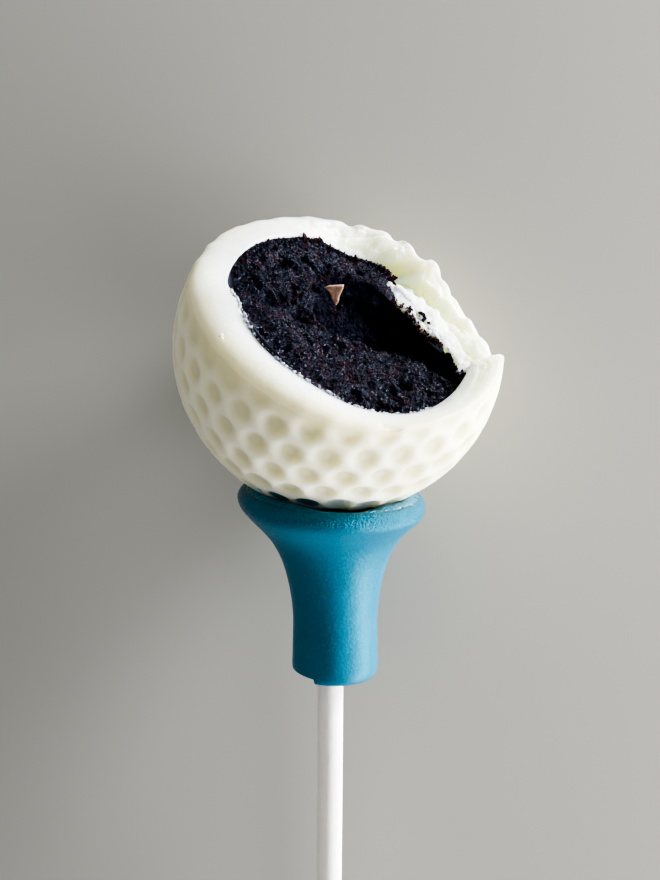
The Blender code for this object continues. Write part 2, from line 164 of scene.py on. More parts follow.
# Crumbs on the splinter and the coating: (degrees, reach, height, spread, how many, how red,
# largest size)
STRAY_CRUMBS = (
    (97.0, 14.3, 4.4, 0.13, 12, 0.2, 0.2), (95.5, 14.7, 4.5, 0.13, 12, 0.2, 0.2),
    (93.5, 14.4, 4.4, 0.13, 12, 0.2, 0.2), (92.0, 14.1, 4.3, 0.13, 12, 0.3, 0.2),
    (89.2, 14.5, 4.4, 0.12, 9, 0.2, 0.18), (91.0, 13.0, 3.5, 0.22, 16, 0.9, 0.22),
    (118.0, 14.8, 4.45, 0.07, 6, 0.1, 0.07), (116.0, 15.3, 4.55, 0.07, 6, 0.1, 0.07),
    (102.0, 13.3, 3.8, 0.27, 34, 1.0, 0.26), (106.5, 13.0, 3.7, 0.22, 20, 1.0, 0.2),
    (98.0, 13.2, 3.7, 0.25, 26, 1.0, 0.24), (94.0, 13.1, 3.4, 0.22, 14, 0.9, 0.18),
    (88.0, 13.0, 3.4, 0.25, 24, 0.8, 0.24), (84.0, 13.3, 3.5, 0.25, 24, 0.8, 0.24),
    (79.5, 14.1, 3.7, 0.25, 20, 0.8, 0.24), (77.5, 14.3, 3.8, 0.25, 24, 0.6, 0.24),
    (75.0, 14.8, 4.0, 0.2, 18, 0.5, 0.22), (81.5, 13.7, 3.6, 0.25, 20, 0.8, 0.24),
    (112.0, 13.2, 3.7, 0.2, 10, 0.7, 0.18), (173.0, 16.5, 4.8, 0.2, 16, 0.5, 0.3),
    (163.5, 16.7, 4.8, 0.18, 14, 0.5, 0.3), (168.0, 16.6, 4.6, 0.25, 14, 0.2, 0.2),
    (125.5, 16.9, 4.75, 0.2, 16, 1.4, 0.26), (121.5, 16.6, 4.7, 0.2, 14, 1.4, 0.24),
)
# Heaps of crumbs: (degrees, reach, spread, how many, how red, largest size)
CRUMB_HEAPS = (
    (175, 8.6, 0.5, 26, 1.0, 0.2), (150, 9.9, 0.5, 20, 0.9, 0.2), (146, 7.6, 0.7, 20, 1.0, 0.18),
    (125, 16.6, 0.35, 22, 1.4, 0.26), (129, 17.0, 0.25, 12, 1.4, 0.3),
    (112, 13.0, 0.35, 16, 0.9, 0.2), (100, 12.3, 0.5, 34, 1.0, 0.24),
    (93, 12.2, 0.45, 26, 0.9, 0.22), (86, 12.9, 0.4, 18, 0.8, 0.2), (80, 13.4, 0.4, 16, 0.7, 0.18),
    (93, 14.3, 0.25, 14, 0.5, 0.2), (-20, 9.0, 1.4, 40, 0.7, 0.18), (-45, 11.0, 1.2, 24, 0.7, 0.16),
    (30, 15.5, 0.7, 20, 0.6, 0.2), (170, 16.2, 0.4, 14, 0.5, 0.24), (52, 16.3, 0.5, 40, 0.35, 0.26),
    (46, 16.2, 0.5, 30, 0.3, 0.24), (58, 16.2, 0.4, 24, 0.3, 0.24),
)
# Chips of coating: how many along the rim's inner edge, over which degrees, how far they are
# heaped up between them, and single ones as (degrees, reach, height, size)
CHIP_COUNT = 460
CHIP_ARC = (-116, 0)
CHIP_LIFT = 0.2
SINGLE_CHIPS = (
    (121.5, 14.6, 4.3, 0.24), (120.6, 14.9, 4.4, 0.2), (68.5, 15.3, 4.4, 0.3),
    (70.0, 15.2, 4.4, 0.22), (-69.9, 17.2, 4.0, 0.22), (-68.0, 17.3, 4.1, 0.16),
    (-89.7, 21.45, 3.1, 0.26), (-88.7, 21.5, 2.95, 0.18), (-86.0, 21.4, 3.2, 0.12),
    (62.5, 17.2, 5.3, 0.3), (60.5, 17.0, 5.2, 0.24),
)

# Flake of coating, in two ledges: (degrees round the bite, inner reach, outer reach, height inside,
# height outside)
FLAKE_LEDGES = {
    "outer": (
        (49.0, 15.6, 16.0, 5.0, 5.4), (53, 15.6, 16.9, 4.9, 5.6), (60, 15.7, 17.0, 4.7, 5.5),
        (66, 15.7, 17.0, 4.6, 5.3), (73, 15.0, 17.0, 4.4, 5.1), (81, 14.4, 16.9, 4.3, 5.0),
        (91, 14.2, 16.9, 4.3, 5.0), (99, 14.3, 16.9, 4.4, 5.0), (105, 14.6, 16.8, 4.5, 5.0),
        (111, 14.9, 16.2, 4.6, 4.9), (118, 15.2, 15.6, 4.7, 4.8),
    ),
    "inner": (
        (73, 15.1, 15.5, 4.2, 4.5), (76, 14.7, 15.4, 4.1, 4.5), (80, 14.0, 15.1, 4.1, 4.5),
        (84, 13.5, 14.8, 4.2, 4.5), (88, 13.3, 14.6, 4.1, 4.4), (92, 13.4, 14.4, 3.9, 4.2),
        (97, 13.3, 14.5, 3.9, 4.3), (101, 13.2, 14.7, 3.9, 4.4), (106, 13.1, 14.9, 3.9, 4.5),
        (112, 13.4, 15.2, 3.8, 4.5), (118, 14.7, 15.5, 4.1, 4.5), (122.5, 15.2, 15.4, 4.2, 4.4),
    ),
}
FLAKE_DEPTH = 1.3
FLAKE_UNDERCUT = 0.2
# The hole between the ledges: (degrees, reach) along it, its half width and its depth
FLAKE_HOLE = ((97.5, 14.3), (95.7, 14.9), (92, 14.0), (88.5, 14.7))
HOLE_HALF_WIDTH = 0.25
HOLE_DEPTH = 1.6

# Nut, in upright axes about its place in the bite
NUT_PLACE = (-6.8, 1.8, 3.0)
NUT_FORWARD = 0.5
NUT_CORNERS = (
    (-1.36, 1.12), (-0.55, 1.4), (1.57, 1.47), (1.41, 0.78), (0.96, -0.15), (0.79, -0.97),
    (0.38, -1.55), (-0.11, -0.97), (-0.33, -0.04), (-0.66, 0.54),
)
NUT_THICKNESS = 2.2
NUT_FRONT_SHARE = 0.85

# Stick
STICK_RADIUS = 1.75
STICK_TOP = -8.0
STICK_LENGTH = 150.0
STICK_OFFSET = -0.7
STICK_YAW = math.radians(0.43)
# How far down the stick the paper's edge winds once round, and how high it stands
PAPER_PITCH = 21.0
PAPER_EDGE = 0.018

# Tee, as (radius, height under the ball's centre)
TEE_OFFSET = -0.45
TEE_PROFILE = (
    (9.9, 19.5), (11.0, 19.2), (11.6, 19.05), (12.2, 19.35), (12.54, 20.2), (12.2, 21.4),
    (10.9, 22.9), (9.45, 24.4), (8.2, 26.1), (6.95, 28.8), (6.1, 32.3), (5.7, 36.1), (5.75, 40.3),
    (5.82, 43.0), (5.5, 44.0), (4.8, 44.35), (3.4, 44.4),
)
SEAT_RADIUS = BALL_RADIUS + FIT_GAP
# The lip is drawn to the left and leans, fully above the second height and not under the first
LIP_BLEND = (-27, -20)
LIP_SHIFT = -0.45
LIP_SLOPE_RIGHT = math.tan(math.radians(-3.2))
LIP_SLOPE_FRONT = math.tan(math.radians(4.0))
# The foot's left side ends on a slant from this corner, given as (place across, height)
FOOT_CUT_SLOPE = math.tan(math.radians(6))
FOOT_CUT_CORNER = (-3.2, -43.4)
# How far out from the ball the tee is dry, and how near it is all wet and darkest with painted shade
# of the ball
WET_REACH = (3.8, 0.6)

# Glue in the joint of ball and tee: its outline as (radius, height under the ball's centre), how
# much higher it stands by the ball as (degrees round the tee, rise), how far up the ball it stains
# the dimples as angles from the stick, how much as (degrees round the tee, share: up to 0.4 a pale
# grey painted light over the shaded dimples, above it teal glaze), and how deep it is over the ball
GLUE_PROFILE = (
    (8.9, 19.75), (9.4, 19.42), (9.9, 19.36), (10.5, 19.22), (11.0, 19.08), (11.4, 18.99),
    (11.7, 19.1), (11.3, 19.3), (10.4, 19.5), (9.5, 19.75),
)
GLUE_RISE = (
    (-175, 0.5), (-120, 0.5), (-108, 0.35), (-100, 0.1), (-92, 0.0), (-68, 0.0), (-58, 0.25),
    (-45, 0.45), (-20, 0.5), (60, 0.5), (120, 0.5),
)
GLUE_REACH = (math.radians(34.5), math.radians(32))
GLUE_STAIN = (
    (-175, 1.0), (-112, 1.0), (-104, 0.9), (-98, 0.45), (-90, 0.4), (-60, 0.4), (0, 0.4),
    (60, 0.5), (120, 0.8),
)
GLUE_DEPTH = 0.12
# Beads of glue: how many, over which degrees round the tee, and their mean radius from its axis
# and height under the ball's centre
BEAD_COUNT = 30
BEAD_ARC = (-68, -28)
BEAD_PLACE = (11.4, 18.92)

# Camera: how far right of the ball's centre, towards the ball's top and above it; its lens
CAMERA_OFFSET = (-1.114, -12.10, 144.5)
LENS = 45
SENSOR = 36

# Lights: (name, place in metres, size, watts, colour)
LIGHTS = (
    ("window_far", (0.36, 0.26, 0.05), (0.13, 0.16), 7.2, (1, 0.99, 0.97)),
    ("window_near", (0.36, -0.18, 0.045), (0.13, 0.46), 6.4, (1, 0.98, 0.96)),
    ("soft_front", (0.4, -0.4, 0.6), (0.3, 0.3), 0.8, (1, 1, 1)),
)


# Frames


def turn_matrix(axis, angle):
    """Rotation by an angle about an axis: cosine times the identity, plus sine times the cross
    product, plus the rest along the axis."""
    x, y, z = np.asarray(axis) / np.linalg.norm(axis)
    cross = np.array([[0, -z, y], [z, 0, -x], [-y, x, 0]])
    outer = np.outer((x, y, z), (x, y, z))
    return math.cos(angle) * np.eye(3) + math.sin(angle) * cross + (1 - math.cos(angle)) * outer


def lying_turn():
    """The turn that lays the upright pop on its back, resting on ball and stick end."""
    end = STICK_LENGTH - STICK_TOP
    slant = math.asin(BALL_HEIGHT / math.hypot(end, STICK_RADIUS)) - math.atan(STICK_RADIUS / end)
    return turn_matrix((1, 0, 0), slant - math.pi / 2)


LYING = lying_turn()
BITE = turn_matrix((0, 0, 1), BITE_HEADING) @ turn_matrix((0, 1, 0), BITE_LEAN)


def placed(points):
    """Upright millimetres to world metres, with nothing below what the pop lies on."""
    world = (points @ LYING.T + (0, 0, BALL_HEIGHT)) * MM
    world[:, 2] = np.maximum(world[:, 2], 0)
    return world


def from_bite(points):
    """Points in the bite's frame to the upright frame."""
    return np.asarray(points) @ BITE.T


def smoothstep(low, high, value):
    """From 0 at low to 1 at high along an S-shaped cubic, and held beyond them."""
    t = np.clip((value - low) / (high - low), 0, 1)
    return t * t * (3 - 2 * t)


def through(knots, values, at):
    """A curve through values at knots: on each stretch a cubic whose slopes at its ends are those
    between the neighbouring knots."""
    knots, values = np.asarray(knots, float), np.asarray(values, float)
    slope = np.zeros_like(values)
    slope[1:-1] = (values[2:] - values[:-2]) / (knots[2:] - knots[:-2])
    i = np.clip(np.searchsorted(knots, at, side="right") - 1, 0, len(knots) - 2)
    span = knots[i + 1] - knots[i]
    t = np.clip((at - knots[i]) / span, 0, 1)
    return (
        (2 * t**3 - 3 * t**2 + 1) * values[i]
        + (t**3 - 2 * t**2 + t) * slope[i] * span
        + (3 * t**2 - 2 * t**3) * values[i + 1]
        + (t**3 - t**2) * slope[i + 1] * span
    )


def around(table, angle):
    """Value at an angle in radians of the closed smooth curve through a (degrees, value) table."""
    at, up = np.array(table, float).T
    at = np.concatenate((at[-2:] - 360, at, at[:2] + 360))
    up = np.concatenate((up[-2:], up, up[:2]))
    return through(at, up, (np.degrees(angle) - at[2]) % 360 + at[2])


def round_axis(reach, angle, height):
    """Points from their reach from Z, their angle round it and their height along it."""
    reach, angle, height = np.broadcast_arrays(reach, angle, height)
    return np.stack((reach * np.cos(angle), reach * np.sin(angle), height), axis=-1)


def on_sphere(polar, angle):
    """Unit vectors from their angle off -Z and their angle round Z."""
    return round_axis(np.sin(polar), angle, -np.cos(polar))


def full_turn(count):
    """Even angles once round."""
    return np.linspace(0, 2 * math.pi, count, endpoint=False)


def run_along(line):
    """How far along a line of points each of them is."""
    return np.concatenate(((0,), np.cumsum(np.linalg.norm(np.diff(line, axis=0), axis=1))))


def line_distance(spots, line):
    """Distance, across the bite's axis, from points to a line given as (degrees, reach)."""
    x, y = spots[..., 0], spots[..., 1]
    degrees, reach = np.array(line).T
    line = round_axis(reach, np.radians(degrees), 0)[:, :2]
    best = np.full(x.shape, np.inf)
    for (ax, ay), (bx, by) in zip(line, line[1:]):
        dx, dy = bx - ax, by - ay
        t = np.clip(((x - ax) * dx + (y - ay) * dy) / (dx * dx + dy * dy), 0, 1)
        best = np.minimum(best, np.hypot(x - ax - t * dx, y - ay - t * dy))
    return best


# Randomness that repeats


def hashed(cells, seed):
    """A steady number from 0 to 1 for each whole-numbered cell, from mixed integer products."""
    x, y, z = np.moveaxis(cells.astype(np.int64), -1, 0)
    h = (x * 73856093) ^ (y * 19349663) ^ (z * 83492791) ^ (seed * 668265263)
    h = ((h ^ (h >> 13)) * 1274126177) & 0xFFFFFFFF
    h = ((h ^ (h >> 15)) * 668265263) & 0xFFFFFFFF
    return ((h ^ (h >> 16)) & 0xFFFFFF) / 0xFFFFFF


def smooth_noise(points, size, seed):
    """Noise from -1 to 1: numbers at the corners of cells of a size, blended smoothly between."""
    p = points / size
    low = np.floor(p)
    t = smoothstep(0, 1, p - low)
    total = np.zeros(p.shape[:-1])
    for corner in np.ndindex(2, 2, 2):
        weight = np.prod(np.where(corner, t, 1 - t), axis=-1)
        total += weight * hashed(low + corner, seed)
    return 2 * total - 1


def rough_noise(points, size, octaves, seed):
    """Smooth noise summed over halving sizes and halving heights."""
    return sum(smooth_noise(points, size / 2**k, seed + k) / 2**k for k in range(octaves))


def grains(points, size, seed):
    """Distance to the nearest of one random point a cell, in cells, and that point's height from
    -0.5 to 0.5, which sinks to 0 where the second nearest point is as near."""
    p = points / size
    low = np.floor(p)
    nearest = second = np.full(p.shape[:-1], np.inf)
    number = np.zeros(p.shape[:-1])
    for offset in np.ndindex(3, 3, 3):
        cell = low + offset - 1
        spot = cell + np.stack([hashed(cell, seed + k) for k in range(3)], axis=-1)
        distance = np.linalg.norm(p - spot, axis=-1)
        closer = distance < nearest
        second = np.where(closer, nearest, np.minimum(second, distance))
        nearest = np.where(closer, distance, nearest)
        number = np.where(closer, hashed(cell, seed + 7), number)
    return nearest, (number - 0.5) * smoothstep(0, 0.3, second - nearest)


# Meshes


def ring_quads(index):
    """Faces between rings of points, from their numbers as rows of an array."""
    after = np.roll(index, -1, axis=1)
    return np.stack((index[:-1], after[:-1], after[1:], index[1:]), axis=-1).reshape(-1, 4)


def pole_fan(pole, ring, outward):
    """Triangles from a pole to a ring of points."""
    after = np.roll(ring, -1)
    pair = (ring, after) if outward else (after, ring)
    return np.stack((np.full_like(ring, pole), *pair), axis=-1)


def ringed(grid, first_pole, last_pole):
    """Points and faces of a grid of rings closed by a pole at each end."""
    count = grid[..., 0].size
    index = np.arange(count).reshape(grid.shape[:2])
    faces = [
        ring_quads(index),
        pole_fan(count, index[0], False),
        pole_fan(count + 1, index[-1], True),
    ]
    return np.concatenate((grid.reshape(-1, 3), [first_pole, last_pole])), faces


def with_poles(*parts):
    """The values of a grid's parts and, for the two poles, the means of its end rings."""
    values = np.concatenate(parts)
    return np.concatenate((values.ravel(), (values[0].mean(), values[-1].mean())))


def piece_from(name, points, faces, finish, slot, **marks):
    """Makes a piece that rides with the pop, from upright points and face index arrays."""
    mesh = bpy.data.meshes.new(name)
    faces = [face for part in faces for face in part.tolist()]
    mesh.from_pydata(placed(points).tolist(), [], faces)
    mesh.materials.append(finish)
    for title, values in marks.items():
        layer = mesh.attributes.new(title, "FLOAT", "POINT")
        values = np.broadcast_to(values, len(points))
        layer.data.foreach_set("value", values.astype(np.float32))
    mesh.shade_smooth()
    mesh.update()
    piece = bpy.data.objects.new(name, mesh)
    bpy.context.scene.collection.objects.link(piece)
    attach(piece, "root")
    return piece


# Coating


def icosahedron():
    """Points and outward faces of an icosahedron: its corners are two poles and two staggered
    rings of five."""
    low = 1 / math.sqrt(5)
    upper = round_axis(2 * low, full_turn(5), low)
    corners = np.concatenate((upper, -upper, [(0, 0, 1), (0, 0, -1)]))
    near = corners @ corners.T > low - 1e-6
    faces = [
        (a, b, c)
        for a in range(12)
        for b in range(a)
        for c in range(b)
        if near[a, b] and near[b, c] and near[a, c]
    ]
    outward = [face if np.linalg.det(corners[list(face)]) > 0 else face[::-1] for face in faces]
    return corners, np.array(outward)


def dimple_directions():
    """Unit vectors to the dimples: on each face of an icosahedron, the corners weighted by sines
    of equal steps of the edge's arc."""
    corners, faces = icosahedron()
    arc = math.atan(2)
    run = range(DIMPLE_STEPS + 1)
    steps = np.array([(i, j, DIMPLE_STEPS - i - j) for i in run for j in run[: len(run) - i]])
    found = (np.sin(steps / DIMPLE_STEPS * arc) @ corners[faces]).reshape(-1, 3)
    found /= np.linalg.norm(found, axis=1)[:, None]
    found = np.unique(found.round(6), axis=0)
    turn = turn_matrix(PATTERN_AXIS, math.radians(PATTERN_TURN_DEGREES))
    return found @ turn.T


def dimple_share(directions, height, angle):
    """How deep in a dimple each direction of the ball is, from 0 to 1: flat in the middle and
    smoothly up to a round ridge, faded where melted near the rim or pressed by the rest. Also how
    beige the coating is made there, partly for thin coating and partly as painted shade of the
    hollow, which stays where the dimple has melted, and how much of the tee's glaze has run into
    it, with a pale grey painted light over the shaded dimples by the tee."""
    upright = from_bite(directions)
    closest = np.max(upright.reshape(-1, 3) @ dimple_directions().T, axis=1).reshape(height.shape)
    off = np.arccos(np.clip(closest, -1, 1)) * BALL_RADIUS / DIMPLE_RADIUS
    bowl = 1 - smoothstep(*DIMPLE_BOWL, off)
    below_rim = around(RIM_OUTSIDE, angle) - height
    melted = np.maximum(around(MELT_REACH, angle), 0.05)
    fade = smoothstep(0.3 * melted, melted, below_rim)
    down = np.arccos(np.clip(upright @ (LYING.T @ (0, 0, -1)), -1, 1))
    rest = smoothstep(*PRESSED_SMOOTH, down) * smoothstep(*PRESSED_FLAT, down)
    clouds = smoothstep(-0.6, 0.45, rough_noise(upright * BALL_RADIUS, CLOUD_SIZE, 3, seed=2))
    # Beige tint, deepest in the dimples and in cloudy melted patches: partly thin coating, partly
    # painted shade of the hollows.
    thin = bowl * (0.35 + 0.65 * fade) + 0.95 * (1 - fade) * smoothstep(0, 0.9, below_rim) * clouds
    by_stick = np.arccos(np.clip(-upright[..., 2], -1, 1))
    joined = smoothstep(*GLUE_REACH, by_stick)
    # Share of teal glaze in the dimples by the tee; shares up to 0.4 give a pale grey painted light
    # over the shaded dimples.
    stain = around(GLUE_STAIN, np.arctan2(upright[..., 1], upright[..., 0]))
    glazed = joined * smoothstep(0.15, 0.5, bowl) * stain
    return bowl * (0.1 + 0.9 * fade) * rest, np.clip(thin * (1 - 0.8 * joined), 0, 1), glazed


def outer_wall(angle, rows):
    """The ball's outside, from the pole behind the bite up to the rim's outer edge: a sphere of
    rings, less the dimples, with low lumps and a ripple near the rim."""
    edge_height = around(RIM_OUTSIDE, angle) - around(RIM_DROP, angle) + around(RIM_SCALLOPS, angle)
    polar = np.linspace(0, 1, rows + 1)[1:, None] * np.arccos(-edge_height / BALL_RADIUS)
    directions = on_sphere(polar, angle)
    spots = directions * BALL_RADIUS
    height = spots[..., 2]
    dent, thin, glazed = dimple_share(directions, height, angle + 0 * polar)
    lumps = 0.05 * rough_noise(spots, 6.0, 2, seed=3)
    near_rim = smoothstep(3.0, 0.0, edge_height - height)
    ripple = 0.08 * near_rim * rough_noise(spots, 1.8, 2, seed=5)
    depth = DIMPLE_DEPTH * (1 + DIMPLE_UNEVEN * smooth_noise(spots, 5.0, seed=6))
    radius = BALL_RADIUS - WALL_INSET - depth * dent + lumps + ripple
    return directions * radius[..., None], thin, glazed


def rim_wall(angle, edge, rounding_rows, level_rows):
    """The broken rim, from the outer edge in: a straight slope between the edges, rounded over
    outside by a quarter ellipse, and on the far side grooved and craggy. Also returns a yellow
    painted shade for the groove and the crag's low spots."""
    over = np.cos(np.linspace(0, math.pi / 2, rounding_rows + 1)[1:])
    share = np.concatenate((
        RIM_LEVEL_SHARE + (1 - RIM_LEVEL_SHARE) * over,
        np.linspace(RIM_LEVEL_SHARE, 0, level_rows + 1)[1:],
    ))[:, None]
    over = np.concatenate((over, np.zeros(level_rows)))[:, None]
    inside, drop = around(RIM_INSIDE, angle), around(RIM_DROP, angle)
    outer_reach = np.hypot(edge[:, 0], edge[:, 1])
    inner_reach = np.sqrt(CORE_RADIUS**2 - inside**2)
    reach = inner_reach + share * (outer_reach - inner_reach)
    height = inside + (edge[:, 2] + drop - inside) * share - drop * (1 - np.sqrt(1 - over**2))
    spots = round_axis(reach, angle, height)
    middle = np.sin(np.pi * share) ** 0.7
    broken, groove = around(BROKEN, angle), around(GROOVE, angle)
    sunk = groove * np.exp(-((np.maximum(share - 0.25, 0) / 0.25) ** 2))
    lengthwise = np.stack((reach * (angle + math.pi), 0.8 * reach, 0 * reach), axis=-1)
    ridges = rough_noise(lengthwise, 2.4, 3, seed=11)
    _, chips = grains(lengthwise, 1.5, seed=13)
    crag = 0.4 * ridges + 0.75 * chips + 0.3 * rough_noise(spots, 0.9, 3, seed=15)
    soft = 0.05 * rough_noise(spots, 2.4, 3, seed=17)
    height = height + middle * (broken * crag + soft) - sunk
    for line, depth in RIM_CREASES:
        height = height - depth * smoothstep(2 * CREASE_HALF_WIDTH, 0, line_distance(spots, line))
    # Yellow painted shade along the groove and in the crag's low spots.
    yellow = np.exp(-(((share - 0.32) / 0.2) ** 2)) * groove / 1.3
    patches = smoothstep(-0.4, 0.5, rough_noise(spots, 3.2, 3, seed=19))
    hollowed = 0.5 * middle * broken * smoothstep(0.0, -0.4, crag) + 0.75 * yellow * patches
    return round_axis(reach, angle, height), np.clip(hollowed, 0, 1)


def inner_wall(angle, edge, rows):
    """The inside, round the cake: rings of a sphere from the rim's inner edge down to the pole
    behind the bite."""
    start = np.arccos(-edge[:, 2] / np.linalg.norm(edge, axis=1))
    polar = (np.linspace(1, 0, rows + 2)[1:-1, None]) ** 1.6 * start
    return CORE_RADIUS * on_sphere(polar, angle)


def make_coating(finish):
    """The bowl of coating: outer wall, rim and inner wall as one run of rings round the bite's
    axis, closer together on the broken far side, with a pole at each end."""
    columns, outer_rows, rounding_rows, level_rows, inner_rows = 560, 128, 26, 12, 8
    even = full_turn(columns) - math.pi
    angle = even - 0.25 * np.sin(even - FAR_SIDE)
    outer, thin, glazed = outer_wall(angle, outer_rows)
    rim, hollowed = rim_wall(angle, outer[-1], rounding_rows, level_rows)
    inner = inner_wall(angle, rim[-1], inner_rows)
    grid = np.concatenate((outer, rim, inner))
    points, faces = ringed(grid, (0, 0, -BALL_RADIUS + 0.3), (0, 0, -CORE_RADIUS))
    reach = np.hypot(rim[..., 0], rim[..., 1])
    # The broken face is cool white out to this width from its inner edge, partly its own colour and
    # partly painted light, and ivory beyond.
    wide = np.where(around(MELT_REACH, angle) > 1.2, *WHITE_BAND)
    clouds = smoothstep(-0.5, 0.6, rough_noise(from_bite(rim), CLOUD_SIZE, 3, seed=2))
    skinned = smoothstep(wide - 0.7, wide + 0.5, reach - reach[-1] + 0.5 * (clouds - 0.5))
    none = np.zeros(inner.shape[:2])
    # Colour marks: cut, partly painted light; thin, partly painted shade; groove, painted shade;
    # glazed, glaze with a painted light.
    piece = piece_from(
        "coating_shell", from_bite(points), faces, finish, "white_coating",
        cut=with_poles(0 * thin, 1 - skinned, none + 1),
        thin=with_poles(thin, 0.5 * skinned * clouds, none),
        groove=with_poles(0 * thin, hollowed, none),
        glazed=with_poles(glazed, 0 * hollowed, none),
    )
    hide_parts("coating")


# Cake


def disc_grid(side):
    """A square grid squeezed evenly onto the unit disc: each square ring becomes a round one."""
    a, b = np.meshgrid(np.linspace(-1, 1, side), np.linspace(-1, 1, side), indexing="ij")
    wide = np.abs(a) > np.abs(b)
    reach = np.where(wide, a, b)
    ratio = np.where(wide, b / np.where(a == 0, 1, a), a / np.where(b == 0, 1, b))
    angle = np.where(wide, math.pi / 4 * ratio, math.pi / 2 - math.pi / 4 * ratio)
    return reach * np.cos(angle), reach * np.sin(angle)


def oval_spread(x, y, centre, half_length, half_width):
    """Squared distance from the middle of an oval along the hollow, as a share of the oval."""
    dx, dy = x - centre[0], y - centre[1]
    along = dx * math.cos(HOLLOW_TURN) + dy * math.sin(HOLLOW_TURN)
    across = dy * math.cos(HOLLOW_TURN) - dx * math.sin(HOLLOW_TURN)
    return (along / half_length) ** 2 + (across / half_width) ** 2


def cake_level(x, y):
    """The bitten face without its crumb: level with its edge, with an oval hollow to one side."""
    reach, angle = np.hypot(x, y), np.arctan2(y, x)
    mean_edge = np.mean([up for _, up in CAKE_EDGE])
    rise = around(CAKE_EDGE, angle) - mean_edge
    level = mean_edge + rise * np.minimum(reach / CAKE_RADIUS, 1) ** EDGE_BLEND
    inside = np.clip(1 - oval_spread(x, y, *HOLLOW_OVAL), 0, 1)
    level = level - HOLLOW_DEPTH * inside**HOLLOW_WALL
    for across, along, radius, depth in DIPS:
        level = level - depth * np.exp(-((np.hypot(x - across, y - along) / radius) ** 4))
    return level - around(SHOULDER, angle) * smoothstep(SHOULDER_START, 1.0, reach / CAKE_RADIUS)


def moist_share(x, y):
    """How much painted shade the crumb gets, a bluish black tone with its glints taken out: most in
    and round the hollow, from 0 to 1.
    """
    share = smoothstep(1.15, 0.8, oval_spread(x, y, *MOIST_OVAL))
    for across, along, radius in MOIST_SPOTS:
        spot = smoothstep(1.15, 0.75, np.hypot(x - across, y - along) / radius)
        share = np.maximum(share, spot)
    return share


def crumbed(spots):
    """Crumb relief: rounded grains of two sizes over uneven clumps, and sharp pits between."""
    fine, _ = grains(spots, 0.4, seed=21)
    coarse, _ = grains(spots, 0.95, seed=31)
    clumps = rough_noise(spots, 3.0, 3, seed=41)
    pits = smoothstep(0.25, 0.65, rough_noise(spots, 1.7, 2, seed=45))
    return 0.34 * (0.5 - coarse) + 0.3 * (0.5 - fine) + 0.4 * clumps - 0.6 * pits


def surface_normals(grid):
    """Directions out of a grid surface's upper side, from the cross product of its two steps."""
    normal = np.cross(np.gradient(grid, axis=0), np.gradient(grid, axis=1))
    normal = normal / np.linalg.norm(normal, axis=-1, keepdims=True)
    return normal * np.sign(normal[..., 2:])


def make_cake(finish):
    """The cake: its bitten face on a round grid, closed below by a sphere of rings. Returns the
    face's points and how far out each is, from 0 to 1, for the loose crumbs."""
    side = 305
    u, v = disc_grid(side)
    angle, share = np.arctan2(v, u), np.hypot(u, v)
    reach = np.sqrt(CAKE_RADIUS**2 - around(CAKE_EDGE, angle) ** 2)
    x, y = u * reach, v * reach
    margin = around(PRESSED_MARGIN, angle)
    inside = smoothstep(1.0, 1 - (0.015 + 0.05 * margin), share)
    spots = np.stack((x, y, cake_level(x, y)), axis=-1)
    settled = 0.15 + 0.35 * smoothstep(0, 0.3, margin) * smoothstep(0.75, 0.95, share)
    relief = (crumbed(spots) - settled) * inside + 0.07 * rough_noise(spots, 0.8, 3, seed=47)
    jitter = [0.1 * inside * smooth_noise(spots, 0.4, seed=s) for s in (51, 52, 53)]
    top = spots + surface_normals(spots) * relief[..., None] + np.stack(jitter, axis=-1)
    index = np.arange(side * side).reshape(side, side)
    quads = np.stack((index[:-1, :-1], index[1:, :-1], index[1:, 1:], index[:-1, 1:]), axis=-1)
    border = np.concatenate((index[:-1, 0], index[-1, :-1], index[:0:-1, -1], index[0, :0:-1]))
    rim = top.reshape(-1, 3)[border]
    start = np.arccos(-np.clip(rim[:, 2] / CAKE_RADIUS, -1, 1))
    polar = np.array([0.97, 0.92, 0.75, 0.45, 0.15])[:, None] * start
    under = CAKE_RADIUS * on_sphere(polar, np.arctan2(rim[:, 1], rim[:, 0]))
    points = np.concatenate((top.reshape(-1, 3), under.reshape(-1, 3), [(0, 0, -CAKE_RADIUS)]))
    under_index = side * side + np.arange(polar.size).reshape(polar.shape)
    sides = ring_quads(np.concatenate((border[None, :], under_index)))[:, [0, 3, 2, 1]]
    fan = pole_fan(len(points) - 1, under_index[-1], False)
    piece = piece_from(
        "cake_crumb", from_bite(points), [quads.reshape(-1, 4), sides, fan], finish,
        "chocolate_cake",
        pressed=np.concatenate(((1 - inside).ravel(), np.ones(len(points) - side * side))),
        # Painted shade in and round the hollow.
        moist=moist_share(points[:, 0], points[:, 1]),
    )
    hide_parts("cake")
    return top, share


# Loose crumbs and chips


def scattered(centres, sizes, seed):
    """Many small lumps in one mesh: each is an icosahedron, scaled unevenly, its corners pushed
    in or out by chance, turned by chance and set at its own centre."""
    draw = np.random.default_rng(seed)
    corners, faces = icosahedron()
    count = len(centres)
    lumps = corners[None] * (1 + CORNER_PUSH * draw.uniform(-1, 1, (count, 12, 1)))
    lumps = lumps * (1 + LUMP_STRETCH * draw.uniform(-1, 1, (count, 1, 3)))
    turns = np.linalg.qr(draw.normal(size=(count, 3, 3)))[0]
    turns *= np.sign(np.linalg.det(turns))[:, None, None]
    points = np.einsum("nij,nkj->nki", turns, lumps) * sizes[:, None, None] + centres[:, None]
    shifted = faces[None] + 12 * np.arange(count)[:, None, None]
    return from_bite(points.reshape(-1, 3)), [shifted.reshape(-1, 3)]


